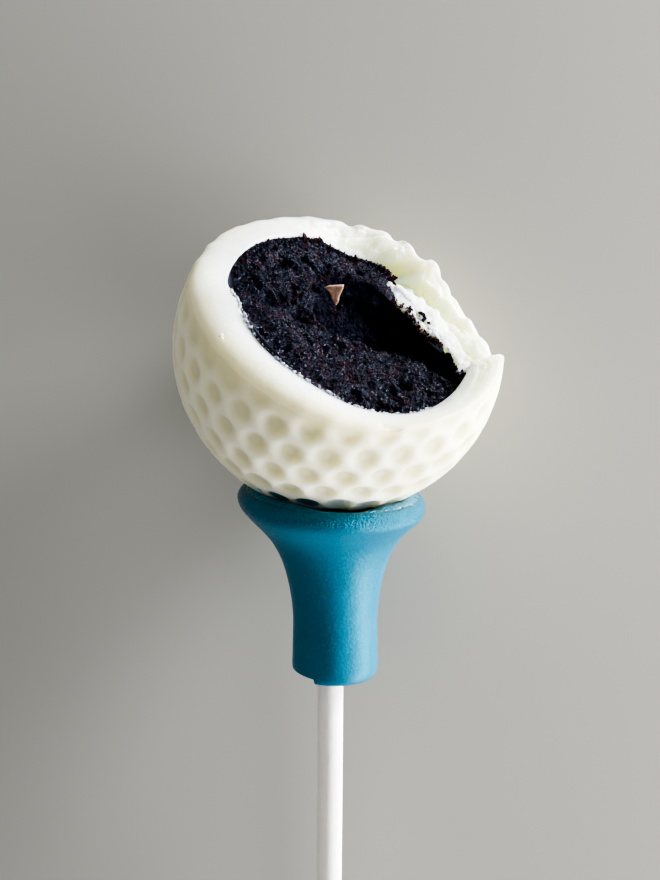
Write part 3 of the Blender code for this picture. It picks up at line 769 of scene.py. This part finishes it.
def make_crumbs(finish, face, share):
    """Crumbs strewn over the bitten face, most of them half sunk in it, thicker in heaps, strayed
    onto the coating, and in a ragged line along the cake's edge."""
    draw = np.random.default_rng(71)
    normal = surface_normals(face).reshape(-1, 3)
    spots = face.reshape(-1, 3)
    skin = around(PRESSED_MARGIN, np.arctan2(spots[:, 1], spots[:, 0])) > 0.3
    fits = np.flatnonzero((share.ravel() < np.where(skin, 0.94, 0.995)) & (normal[:, 2] > 0.2))
    chosen = [draw.choice(fits, CRUMB_COUNT)]
    red = [np.where(draw.random(CRUMB_COUNT) < 0.03, 0.5, 0.0)]
    least, most = CRUMB_SIZES
    sizes = [least + (most - least) * draw.random(CRUMB_COUNT) ** 2.2]
    for degrees, reach, spread, count, tint, largest in CRUMB_HEAPS:
        middle = round_axis(reach, math.radians(degrees), 0.0)[:2]
        places = middle + spread * draw.normal(size=(count, 2))
        chosen.append([np.argmin(np.hypot(*(spots[:, :2] - place).T)) for place in places])
        red.append(np.full(count, tint))
        sizes.append(largest * (0.4 + 0.6 * draw.random(count)))
    chosen = np.concatenate(chosen)
    lift = (0.1 + 0.6 * draw.random(len(chosen))) * np.concatenate(sizes)
    centres = [spots[chosen] + normal[chosen] * lift[:, None]]
    for degrees, reach, height, spread, count, tint, largest in STRAY_CRUMBS:
        middle = round_axis(reach, math.radians(degrees), height)
        centres.append(middle + spread * draw.normal(size=(count, 3)))
        red.append(np.full(count, tint))
        sizes.append(largest * (0.4 + 0.6 * draw.random(count)))
    whole = np.concatenate([np.arange(*arc) for arc in EDGE_CRUMB_ARCS])
    turn = np.radians(draw.choice(whole, EDGE_CRUMB_COUNT))
    turn = turn + np.radians(draw.uniform(-1, 1, EDGE_CRUMB_COUNT))
    edge = around(CAKE_EDGE, turn)
    reach = np.sqrt(CAKE_RADIUS**2 - edge**2) + draw.uniform(-0.8, 0.0, EDGE_CRUMB_COUNT)
    height = edge - 0.7 * around(SHOULDER, turn) + draw.uniform(-0.12, 0.25, EDGE_CRUMB_COUNT)
    centres = np.concatenate((*centres, round_axis(reach, turn, height)))
    red = np.concatenate((*red, np.where(draw.random(EDGE_CRUMB_COUNT) < 0.1, 0.5, 0.0)))
    sizes = np.concatenate((*sizes, 0.08 + 0.16 * draw.random(EDGE_CRUMB_COUNT) ** 2))
    # Loose crumbs in and round the hollow get the same painted shade, except the red ones.
    moist = moist_share(centres[:, 0], centres[:, 1]) * (red < 0.3)
    piece_from(
        "cake_crumbs_loose", *scattered(centres, sizes, 73), finish, "chocolate_cake",
        red=np.repeat(red, 12), moist=np.repeat(moist, 12),
    )


def make_chips(finish):
    """White chips of coating: a ragged line of them along the rim's inner edge, and single ones."""
    draw = np.random.default_rng(79)
    degrees = draw.uniform(*CHIP_ARC, CHIP_COUNT)
    angle = np.radians(degrees)
    inside = around(RIM_INSIDE, angle)
    reach = np.sqrt(CORE_RADIUS**2 - inside**2) + draw.uniform(-0.25, 0.1, CHIP_COUNT)
    lift = CHIP_LIFT * smoothstep(-116, -100, degrees) * smoothstep(-20, -40, degrees)
    height = inside + lift + draw.uniform(-0.1, 0.08, CHIP_COUNT)
    sizes = 0.05 + 0.19 * draw.random(CHIP_COUNT) ** 3
    degrees, single_reach, single_height, single_sizes = np.array(SINGLE_CHIPS).T
    single = round_axis(single_reach, np.radians(degrees), single_height)
    centres = np.concatenate((round_axis(reach, angle, height), single))
    sizes = np.concatenate((sizes, single_sizes))
    piece_from("coating_chips", *scattered(centres, sizes, 89), finish, "white_coating", cut=1)


# Flake and nut


def make_flake(finish, which, seed):
    """One ledge of the cracked splinter: round each cross section goes a loop up its inner side,
    over its rough top and down its outer side, and the loops follow the rim."""
    stations, sides = 300, 120
    table = np.array(FLAKE_LEDGES[which])
    degrees = np.linspace(table[-1, 0], table[0, 0], stations)[:, None]
    inner, outer, low_top, high_top = (through(table[:, 0], up, degrees) for up in table.T[1:])
    turns = np.linspace(0, 1, sides, endpoint=False)[None, :]
    corners = (0, 0.2, 0.7, 0.92, 1.0)
    across = np.interp(turns, corners, (FLAKE_UNDERCUT, 0, 1, 1, FLAKE_UNDERCUT))
    rise = np.interp(turns, corners, (0, 1, 1, 0, 0))
    top = low_top + (high_top - low_top) * across
    bottom = low_top - FLAKE_DEPTH
    reach = inner + across * (outer - inner)
    height = bottom + rise * (top - bottom)
    spots = round_axis(reach, np.radians(degrees), height)
    _, chips = grains(spots, 0.9, seed=seed)
    rough = 0.16 * rough_noise(spots, 1.2, 3, seed=seed + 10) + 0.36 * chips
    ends = np.sin(np.pi * np.linspace(0, 1, stations))[:, None]
    share = smoothstep(0, 0.1, ends) * smoothstep(0.3, 0.9, rise)
    off_hole = line_distance(spots, FLAKE_HOLE)
    sunk = smoothstep(1.5 * HOLE_HALF_WIDTH, 0.6 * HOLE_HALF_WIDTH, off_hole) * rise
    height = height + rough * share - HOLE_DEPTH * sunk
    reach = reach - 1.2 * rough * share * (1 - 2 * across)
    grid = round_axis(reach, np.radians(degrees), height)
    points, faces = ringed(grid, grid[0].mean(axis=0), grid[-1].mean(axis=0))
    name = "splinter_" + which
    piece = piece_from(name, from_bite(points), faces, finish, "white_coating", cut=1)
    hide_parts("coating_flake")


def round_loop(corners, count, softness):
    """A loop of even steps round a polygon, each point the mean of its neighbours, which rounds
    the corners."""
    corners = np.array(corners + corners[:1], float)
    lengths = run_along(corners)
    at = np.linspace(0, lengths[-1], count, endpoint=False)
    loop = np.stack([np.interp(at, lengths, corners[:, k]) for k in (0, 1)], axis=1)
    near = range(-softness, softness + 1)
    return sum(np.roll(loop, k, axis=0) for k in near) / len(near)


def make_nut(finish):
    """The chip of nut: a rounded triangle carried from back to front, a little smaller in front,
    its end edges rounded by a quarter circle and its faces a little uneven."""
    loop = round_loop(NUT_CORNERS, 120, 2)
    middle = loop.mean(axis=0)
    t = np.linspace(0, math.pi, 40)[1:-1]
    half = NUT_THICKNESS / 2
    depth = -half * np.sign(np.cos(t)) * (1 - (1 - np.abs(np.cos(t))) ** 2)
    swell = np.sin(t) ** 0.35
    taper = 1 - (1 - NUT_FRONT_SHARE) * (half - depth) / NUT_THICKNESS
    flat = middle + (loop - middle)[None] * (swell * taper)[:, None, None]
    grid = np.stack((flat[..., 0], -depth[:, None] + 0 * flat[..., 0], flat[..., 1]), axis=-1)
    uneven = np.stack([rough_noise(grid, 0.9, 3, seed=s) for s in (91, 94, 97)], axis=-1)
    poles = (middle[0], half, middle[1]), (middle[0], -half, middle[1])
    points, faces = ringed(grid + 0.06 * uneven, *poles)
    # Painted light: the upper edge is made paler.
    upper = smoothstep(0.7, 1.2, points[:, 2] - middle[1])
    points = points + from_bite(NUT_PLACE) - (0, NUT_FORWARD, 0)
    piece = piece_from("nut_chip", points, faces, finish, "nut", upper=upper)
    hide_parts("nut_piece")


# Tee, stick and glue


def profile_curve(points, steps):
    """Even steps along the smooth curve through a (radius, drop) profile."""
    points = np.array(points, float)
    along = run_along(points)
    fine = np.linspace(0, along[-1], 4000)
    curve = np.stack([through(along, values, fine) for values in points.T], axis=1)
    length = run_along(curve)
    even = np.linspace(0, length[-1], steps)
    return np.stack([np.interp(even, length, values) for values in curve.T], axis=1)


def lip_lean(x, y):
    """How much higher the tee's leaning lip stands at a place across its axis."""
    return LIP_SLOPE_RIGHT * x + LIP_SLOPE_FRONT * y


def make_tee(finish):
    """The turned tee: its profile carried round the axis, the lip drawn aside and leaning, the
    seat pushed out to the ball and the foot's left side cut short on a slant."""
    rows, columns = 230, 256
    seat_drop, foot_drop = TEE_PROFILE[0][1], TEE_PROFILE[-1][1]
    seat = np.stack((np.linspace(0.6, 9.6, 9), np.full(9, seat_drop)), axis=1)
    foot = [(2.6, foot_drop), (1.4, foot_drop)]
    profile = np.concatenate((seat, profile_curve(TEE_PROFILE, rows), foot))
    angle = full_turn(columns)
    grid = round_axis(profile[:, :1], angle, -profile[:, 1:])
    weight = smoothstep(*LIP_BLEND, grid[..., 2])
    grid[..., 2] += weight * lip_lean(grid[..., 0], grid[..., 1])
    grid[..., 0] += TEE_OFFSET + weight * LIP_SHIFT
    uneven = 0.06 * rough_noise(grid, 7.0, 2, seed=101) + 0.01 * rough_noise(grid, 0.7, 2, seed=103)
    below_lip = smoothstep(-18.0, -20.0, grid[..., 2])
    grid = grid + round_axis(uneven * below_lip, angle, 0)
    slope = FOOT_CUT_CORNER[1] + FOOT_CUT_SLOPE * (FOOT_CUT_CORNER[0] - grid[..., 0])
    cut = (grid[..., 0] < FOOT_CUT_CORNER[0]) & (grid[..., 2] < slope)
    grid[..., 2] = np.where(cut, slope, grid[..., 2])
    points, faces = ringed(grid, (TEE_OFFSET, 0, -seat_drop), (TEE_OFFSET, 0, -foot_drop))
    points = points * np.maximum(1, SEAT_RADIUS / np.linalg.norm(points, axis=1, keepdims=True))
    # Wet, and painted shade, near the ball.
    wet = smoothstep(*WET_REACH, np.linalg.norm(points, axis=1) - SEAT_RADIUS)
    piece = piece_from("tee_turned", points, faces, finish, "blue_sugar_paste", wet=wet)
    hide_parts("tee")


def make_stick(finish):
    """The rolled paper stick: straight rings down its own axis, with the faint ridge of the
    paper's edge winding round it, and slightly rounded ends."""
    along = np.linspace(0, STICK_LENGTH, 360)[:, None]
    angle = full_turn(96)
    winding = (angle + 2 * math.pi * along / PAPER_PITCH) % (2 * math.pi)
    ridge = PAPER_EDGE * smoothstep(0, 0.12, winding) * smoothstep(2 * math.pi, 4.2, winding)
    end = np.minimum(along, STICK_LENGTH - along)
    radius = STICK_RADIUS - PAPER_EDGE + ridge - 0.15 * smoothstep(0.15, 0, end)
    grid = round_axis(radius, angle, STICK_TOP - along)
    grid = grid + 0.01 * smooth_noise(grid, 2.5, seed=111)[..., None] * np.array((1, 1, 0))
    points, faces = ringed(grid, (0, 0, STICK_TOP), (0, 0, STICK_TOP - STICK_LENGTH))
    points = points @ turn_matrix((0, 1, 0), STICK_YAW).T + (STICK_OFFSET, 0, 0)
    piece = piece_from("stick_rolled", points, faces, finish, "white_paper")
    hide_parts("stick")


def make_glue_film(finish):
    """The film of glue where ball and tee meet: a closed profile carried round the tee just inside
    its lip, leaning and drawn aside with it, its outer edge uneven."""
    angle = full_turn(360)
    ring = round_axis(1, angle, 0)
    loop = round_loop(GLUE_PROFILE, 48, 2)
    uneven = rough_noise(4 * ring, 1.0, 3, seed=121)
    radius = loop[:, :1] + 0.16 * uneven * smoothstep(10.8, 11.6, loop[:, :1])
    rise = around(GLUE_RISE, angle) * smoothstep(11.4, 10.4, radius)
    drop = loop[:, 1:] - rise + 0.04 * rough_noise(7 * ring, 1.0, 2, seed=125)
    grid = round_axis(radius, angle, -drop)
    grid[..., 2] += lip_lean(grid[..., 0], grid[..., 1])
    grid[..., 0] += TEE_OFFSET + LIP_SHIFT
    away = np.linalg.norm(grid, axis=-1, keepdims=True)
    over_lip = smoothstep(10.2, 11.2, radius)[..., None]
    points = (grid * np.maximum(1, over_lip * (SEAT_RADIUS + GLUE_DEPTH) / away)).reshape(-1, 3)
    index = np.arange(len(points)).reshape(len(grid), -1)
    faces = ring_quads(np.concatenate((index, index[:1])))
    piece_from("glue_film", points, [faces], finish, "blue_sugar_paste")


def make_glue_beads(finish):
    """Beads of glue along the joint in front: squashed balls of rings, their sizes by chance."""
    draw = np.random.default_rng(131)
    rings, sides = 10, 16
    angle = np.radians(draw.uniform(*BEAD_ARC, BEAD_COUNT))
    size = 0.05 + 0.13 * draw.random(BEAD_COUNT) ** 1.5
    radius = BEAD_PLACE[0] + draw.uniform(-0.2, 0.25, BEAD_COUNT)
    centres = round_axis(radius, angle, -BEAD_PLACE[1])
    centres[:, 2] += lip_lean(centres[:, 0], centres[:, 1])
    centres[:, 0] += TEE_OFFSET + LIP_SHIFT
    polar = np.linspace(0, math.pi, rings + 2)[1:-1, None]
    ball = round_axis(np.sin(polar), full_turn(sides), np.cos(polar))
    one, faces = ringed(ball, (0, 0, 1), (0, 0, -1))
    squash = np.ones((BEAD_COUNT, 3))
    squash[:, 2] = draw.uniform(0.45, 0.7, BEAD_COUNT)
    longer = 0.5 * draw.random(BEAD_COUNT)
    tangent = round_axis(1, angle + math.pi / 2, 0)[:, None]
    points = one[None] * (size[:, None] * squash)[:, None]
    points += ((points * tangent).sum(-1) * longer[:, None])[..., None] * tangent
    points += centres[:, None]
    shifts = len(one) * np.arange(BEAD_COUNT)[:, None, None]
    faces = [(part[None] + shifts).reshape(-1, part.shape[1])[:, ::-1] for part in faces]
    piece_from("glue_beads", points.reshape(-1, 3), faces, finish, "white_coating")


# Shader nodes


def new_finish(name):
    """A Principled material; returns it with its node tree and its shader."""
    made = bpy.data.materials.new(name)
    made.use_nodes = True
    return made, made.node_tree, made.node_tree.nodes["Principled BSDF"]


def feed(socket, value):
    """Links another node's output to an input socket, or sets the socket's own value."""
    if isinstance(value, bpy.types.NodeSocket):
        socket.id_data.links.new(value, socket)
    else:
        socket.default_value = value


def settle(shader, **values):
    """Feeds the shader's inputs, named with _ for spaces."""
    for name, value in values.items():
        feed(shader.inputs[name.replace("_", " ")], value)


def node(tree, kind, inputs=(), **settings):
    """Adds a shader node. Each input is a number or colour to set, or another node's output."""
    made = tree.nodes.new("ShaderNode" + kind)
    for name, value in settings.items():
        setattr(made, name, value)
    for name, value in dict(inputs).items():
        feed(made.inputs[name], value)
    return made


def mark(tree, name):
    """A point attribute of the piece, as a number; 0 where the piece has none."""
    return node(tree, "Attribute", attribute_name=name).outputs["Fac"]


def colour_mix(share, *colours):
    """A colour between two, by a share from 0 to 1 that another node gives."""
    first, second = (c if isinstance(c, bpy.types.NodeSocket) else (*c, 1) for c in colours)
    inputs = {0: share, 6: first, 7: second}
    return node(share.id_data, "Mix", inputs, data_type="RGBA").outputs[2]


def ranged(value, low, high, first, last):
    """Another node's value, carried from one range to another and held at its ends."""
    inputs = {"Value": value, "From Min": low, "From Max": high, "To Min": first, "To Max": last}
    return node(value.id_data, "MapRange", inputs).outputs["Result"]


def maths(operation, first, second, **settings):
    """Two numbers combined, one of them at least another node's output."""
    output = first if isinstance(first, bpy.types.NodeSocket) else second
    settings["operation"] = operation
    return node(output.id_data, "Math", {0: first, 1: second}, **settings).outputs[0]


def times(first, second):
    """A product."""
    return maths("MULTIPLY", first, second)


def mottle_group():
    """Uneven patches over a piece, by the size of a patch in mm: a share from 0 to 1, and the same
    noise with finer steps as a height."""
    group = bpy.data.node_groups.new("mottle", "ShaderNodeTree")
    sockets = ("Size", "INPUT"), ("Contrast", "INPUT"), ("Share", "OUTPUT"), ("Height", "OUTPUT")
    for name, way in sockets:
        group.interface.new_socket(name=name, in_out=way, socket_type="NodeSocketFloat")
    given, result = group.nodes.new("NodeGroupInput"), group.nodes.new("NodeGroupOutput")
    place = node(group, "TexCoord").outputs["Object"]
    scale = maths("DIVIDE", 1 / MM, given.outputs["Size"])
    noise = {"Vector": place, "Scale": scale, "Detail": 4.0, "Roughness": 0.55}
    patches = node(group, "TexNoise", noise).outputs["Fac"]
    spread = times(maths("SUBTRACT", patches, 0.5), given.outputs["Contrast"])
    feed(result.inputs["Share"], maths("ADD", spread, 0.5, use_clamp=True))
    feed(result.inputs["Height"], patches)


def mottled(tree, size, contrast=2.0):
    """Places the group; returns its share and its height."""
    inputs = {"Size": size, "Contrast": contrast}
    made = node(tree, "Group", inputs, node_tree=bpy.data.node_groups["mottle"])
    return made.outputs["Share"], made.outputs["Height"]


def bump(height, depth):
    """A normal from another node's height, by the depth in mm of a step of 1."""
    inputs = {"Height": height, "Distance": depth * MM, "Strength": 1.0}
    return node(height.id_data, "Bump", inputs).outputs["Normal"]


# Finishes


def coating_finish():
    """Waxy white coating: ivory outside, and beige in the dimples, partly where it is thin and
    partly painted shade of their hollows; cool white on broken faces, partly their own colour and
    partly painted light; yellow painted shade in their grooves and low spots; and by the tee teal
    glaze in the dimples, with a pale grey painted light over the shaded ones; it lets light in."""
    made, tree, shader = new_finish("white_coating")
    patches, _ = mottled(tree, 6.0)
    outside = colour_mix(patches, (0.84, 0.825, 0.63), (0.87, 0.855, 0.71))
    # Beige of the dimples and melted patches: partly thin coating, partly painted shade.
    hollow = colour_mix(patches, (0.74, 0.72, 0.47), (0.79, 0.77, 0.54))
    skin = colour_mix(mark(tree, "thin"), outside, hollow)
    # Cool white of the broken faces: partly their own colour, partly painted light.
    face = colour_mix(patches, (0.83, 0.92, 0.82), (0.85, 0.91, 0.81))
    # Yellow painted shade in the grooves and low spots of the broken faces.
    face = colour_mix(mark(tree, "groove"), face, (0.86, 0.885, 0.60))
    tone = colour_mix(mark(tree, "cut"), skin, face)
    glazed = mark(tree, "glazed")
    # Pale grey painted light over the shaded dimples by the tee, then teal glaze stain.
    tone = colour_mix(ranged(glazed, 0, 0.4, 0, 1), tone, (0.88, 0.90, 0.86))
    tone = colour_mix(ranged(glazed, 0.4, 1, 0, 1), tone, (0.05, 0.30, 0.40))
    fine, grain = mottled(tree, 0.5)
    settle(
        shader, Base_Color=tone, Roughness=ranged(fine, 0, 1, 0.36, 0.52), Normal=bump(grain, 0.05),
        Subsurface_Weight=1.0, Subsurface_Radius=(1.0, 0.9, 0.55), Subsurface_Scale=0.0032,
        Specular_IOR_Level=0.4,
    )
    return made


def cake_finish():
    """Moist, nearly black crumb with maroon patches; its fine grain glints, but in and round the
    hollow painted shade tints it bluish black and takes out its glints.
    """
    made, tree, shader = new_finish("chocolate_cake")
    pressed, moist = mark(tree, "pressed"), mark(tree, "moist")
    loose = ranged(pressed, 0, 1, 1, 0)
    wide, _ = mottled(tree, 2.2, 6.0)
    tone = colour_mix(wide, (0.0015, 0.002, 0.007), (0.0045, 0.0045, 0.012))
    spots, _ = mottled(tree, 1.6, 9.0)
    maroon = times(ranged(spots, 0.85, 1.0, 0, 0.35), loose)
    tone = colour_mix(maroon, tone, (0.03, 0.003, 0.005))
    tone = colour_mix(mark(tree, "red"), tone, (0.040, 0.006, 0.008))
    # Painted shade in and round the hollow: a bluish black tone.
    tone = colour_mix(times(moist, 0.85), tone, (0.005, 0.006, 0.013))
    tone = colour_mix(pressed, tone, (0.028, 0.027, 0.040))
    _, grain = mottled(tree, 0.14)
    _, lumps = mottled(tree, 1.1)
    glints, _ = mottled(tree, 0.2, 6.0)
    gloss = maths("ADD", 0.065, times(loose, ranged(glints, 0.78, 1.0, 0, 0.9)))
    rough = maths("ADD", ranged(glints, 0.5, 1.0, 0.5, 0.15), ranged(pressed, 0, 1, 0.0, 0.1))
    height = maths("ADD", times(grain, loose), times(lumps, times(pressed, 2.5)))
    settle(
        shader, Base_Color=tone, Roughness=rough, Normal=bump(height, 0.17),
        # The painted shade in the hollow takes out most of the glints.
        Specular_IOR_Level=times(gloss, ranged(moist, 0, 1, 1, 0.15)),
        Specular_Tint=(0.6, 0.7, 1.0, 1),
    )
    return made


def tee_finish():
    """Blue sugar paste: satin, very finely grained, with a few paler specks, wet by the ball and
    darkened there by painted shade.
    """
    made, tree, shader = new_finish("blue_sugar_paste")
    patches, _ = mottled(tree, 5.0)
    tone = colour_mix(patches, (0.008, 0.116, 0.196), (0.011, 0.132, 0.222))
    fine, grain = mottled(tree, 0.35, 4.0)
    tone = colour_mix(ranged(fine, 0.8, 1.0, 0, 0.18), tone, (0.03, 0.26, 0.40))
    wet = mark(tree, "wet")
    # Darker near the ball: painted shade of the ball; the wet gloss follows.
    tone = colour_mix(times(wet, 0.2), tone, (0.003, 0.05, 0.08))
    rough = times(ranged(fine, 0, 1, 0.38, 0.55), ranged(wet, 0, 0.35, 1, 0.4))
    height = times(grain, ranged(wet, 0, 0.35, 1, 7))
    settle(
        shader, Base_Color=tone, Roughness=rough, Normal=bump(height, 0.05),
        Specular_IOR_Level=0.35, Specular_Tint=(0.0, 0.80, 1.0, 1),
        Subsurface_Weight=0.2, Subsurface_Radius=(0.2, 0.8, 1.0), Subsurface_Scale=0.001,
    )
    return made


def paper_finish():
    """Rolled white paper: faint rosy grey fibres along it."""
    made, tree, shader = new_finish("white_paper")
    place = node(tree, "TexCoord").outputs["Object"]
    along = node(tree, "Mapping", {"Vector": place, "Scale": (1, 0.12, 1)}).outputs["Vector"]
    noise = {"Vector": along, "Scale": 2500.0, "Detail": 3.0}
    fibres = node(tree, "TexNoise", noise).outputs["Fac"]
    patches, _ = mottled(tree, 3.0, 2.5)
    tone = colour_mix(patches, (0.90, 0.86, 0.82), (0.94, 0.905, 0.85))
    tone = colour_mix(ranged(fibres, 0.55, 0.75, 0, 0.35), tone, (0.72, 0.64, 0.63))
    settle(
        shader, Base_Color=tone, Roughness=ranged(fibres, 0.3, 0.7, 0.6, 0.8),
        Normal=bump(fibres, 0.02),
        Subsurface_Weight=0.25, Subsurface_Radius=(1, 0.9, 0.8), Subsurface_Scale=0.0008,
    )
    return made


def nut_finish():
    """Broken nut: rosy beige, browner in patches, and paler at its upper edge, which is painted
    light.
    """
    made, tree, shader = new_finish("nut")
    patches, _ = mottled(tree, 1.2, 3.0)
    tone = colour_mix(patches, (0.22, 0.12, 0.08), (0.32, 0.20, 0.145))
    # Painted light on the upper edge.
    tone = colour_mix(mark(tree, "upper"), tone, (0.62, 0.43, 0.35))
    fine, grain = mottled(tree, 0.3)
    settle(
        shader, Base_Color=tone, Roughness=ranged(fine, 0, 1, 0.4, 0.6), Normal=bump(grain, 0.06)
    )
    return made


def glue_finish():
    """Dried glaze over the tee: teal, smooth and glossy."""
    made, tree, shader = new_finish("thin_glaze")
    patches, grain = mottled(tree, 0.8)
    settle(
        shader, Base_Color=colour_mix(patches, (0.010, 0.13, 0.20), (0.016, 0.165, 0.26)),
        Roughness=ranged(patches, 0, 1, 0.2, 0.4), Normal=bump(grain, 0.07),
        Subsurface_Weight=0.3, Subsurface_Radius=(0.2, 0.8, 1), Subsurface_Scale=0.001,
        Specular_IOR_Level=0.4, Specular_Tint=(0.0, 0.7, 1.0, 1),
    )
    return made


def bead_finish():
    """Clear drops of glaze."""
    made, tree, shader = new_finish("clear_glaze")
    patches, grain = mottled(tree, 0.8)
    settle(
        shader, Base_Color=colour_mix(patches, (0.8, 0.88, 0.88), (0.92, 0.95, 0.95)),
        Roughness=ranged(patches, 0, 1, 0.03, 0.1), Normal=bump(grain, 0.02),
        Transmission_Weight=0.6, IOR=1.45,
    )
    return made


# Floor, lights and camera


def make_floor():
    """A plain pale floor, a little warmer and paler to the right of the pop: painted light, as if
    lit more from the right.
    """
    side = 3.0
    corners = [(-side, -side, 0), (side, -side, 0), (side, side, 0), (-side, side, 0)]
    mesh = bpy.data.meshes.new("floor")
    mesh.from_pydata(corners, [], [(0, 1, 2, 3)])
    made, tree, shader = new_finish("floor_grey")
    patches, _ = mottled(tree, 60.0, 1.0)
    place = node(tree, "TexCoord").outputs["Object"]
    across = node(tree, "SeparateXYZ", {"Vector": place}).outputs["X"]
    left = colour_mix(patches, (0.306, 0.308, 0.291), (0.314, 0.316, 0.299))
    right = colour_mix(patches, (0.335, 0.322, 0.306), (0.345, 0.332, 0.314))
    # Painted light: paler and warmer to the right.
    tone = colour_mix(ranged(across, -0.01, 0.07, 0, 1), left, right)
    settle(shader, Base_Color=tone, Roughness=0.9, Specular_IOR_Level=0.2)
    mesh.materials.append(made)
    floor = bpy.data.objects.new("floor", mesh)
    bpy.context.scene.collection.objects.link(floor)


def make_lights():
    """Two low windows to the right, the far one the stronger, and a soft light high in front, each
    turned to the ball, and a faint even surround."""
    for name, place, size, watts, colour in LIGHTS:
        data = bpy.data.lights.new(name, "AREA")
        data.shape = "RECTANGLE"
        data.size, data.size_y = size
        data.energy = watts
        data.color = colour
        light = bpy.data.objects.new(name, data)
        light.location = place
        aim = np.subtract((0, 0, BALL_HEIGHT * MM), place)
        aim = aim / np.linalg.norm(aim)
        light.rotation_euler = (0, math.acos(-aim[2]), math.atan2(-aim[1], -aim[0]))
        bpy.context.scene.collection.objects.link(light)
    world = bpy.data.worlds.new("studio")
    bpy.context.scene.world = world
    world.use_nodes = True
    settle(world.node_tree.nodes["Background"], Color=(1.0, 0.985, 0.96, 1), Strength=0.432)


def make_camera():
    """The camera, straight above the lying pop, and how its picture is toned."""
    data = bpy.data.cameras.new("camera")
    data.lens = LENS
    data.sensor_width = SENSOR
    camera = bpy.data.objects.new("camera", data)
    right, up, out = CAMERA_OFFSET
    camera.location = (right * MM, up * MM, (BALL_HEIGHT + out) * MM)
    bpy.context.scene.collection.objects.link(camera)
    bpy.context.scene.camera = camera
    view = bpy.context.scene.view_settings
    view.view_transform = "AgX"
    view.look = "AgX - High Contrast"


mottle_group()
white = coating_finish()
make_coating(white)
make_flake(white, "outer", 81)
make_flake(white, "inner", 101)
make_chips(white)
dark = cake_finish()
bitten_face, face_share = make_cake(dark)
make_crumbs(dark, bitten_face, face_share)
make_nut(nut_finish())
make_tee(tee_finish())
make_glue_film(glue_finish())
make_glue_beads(bead_finish())
make_stick(paper_finish())
make_floor()
make_lights()
make_camera()
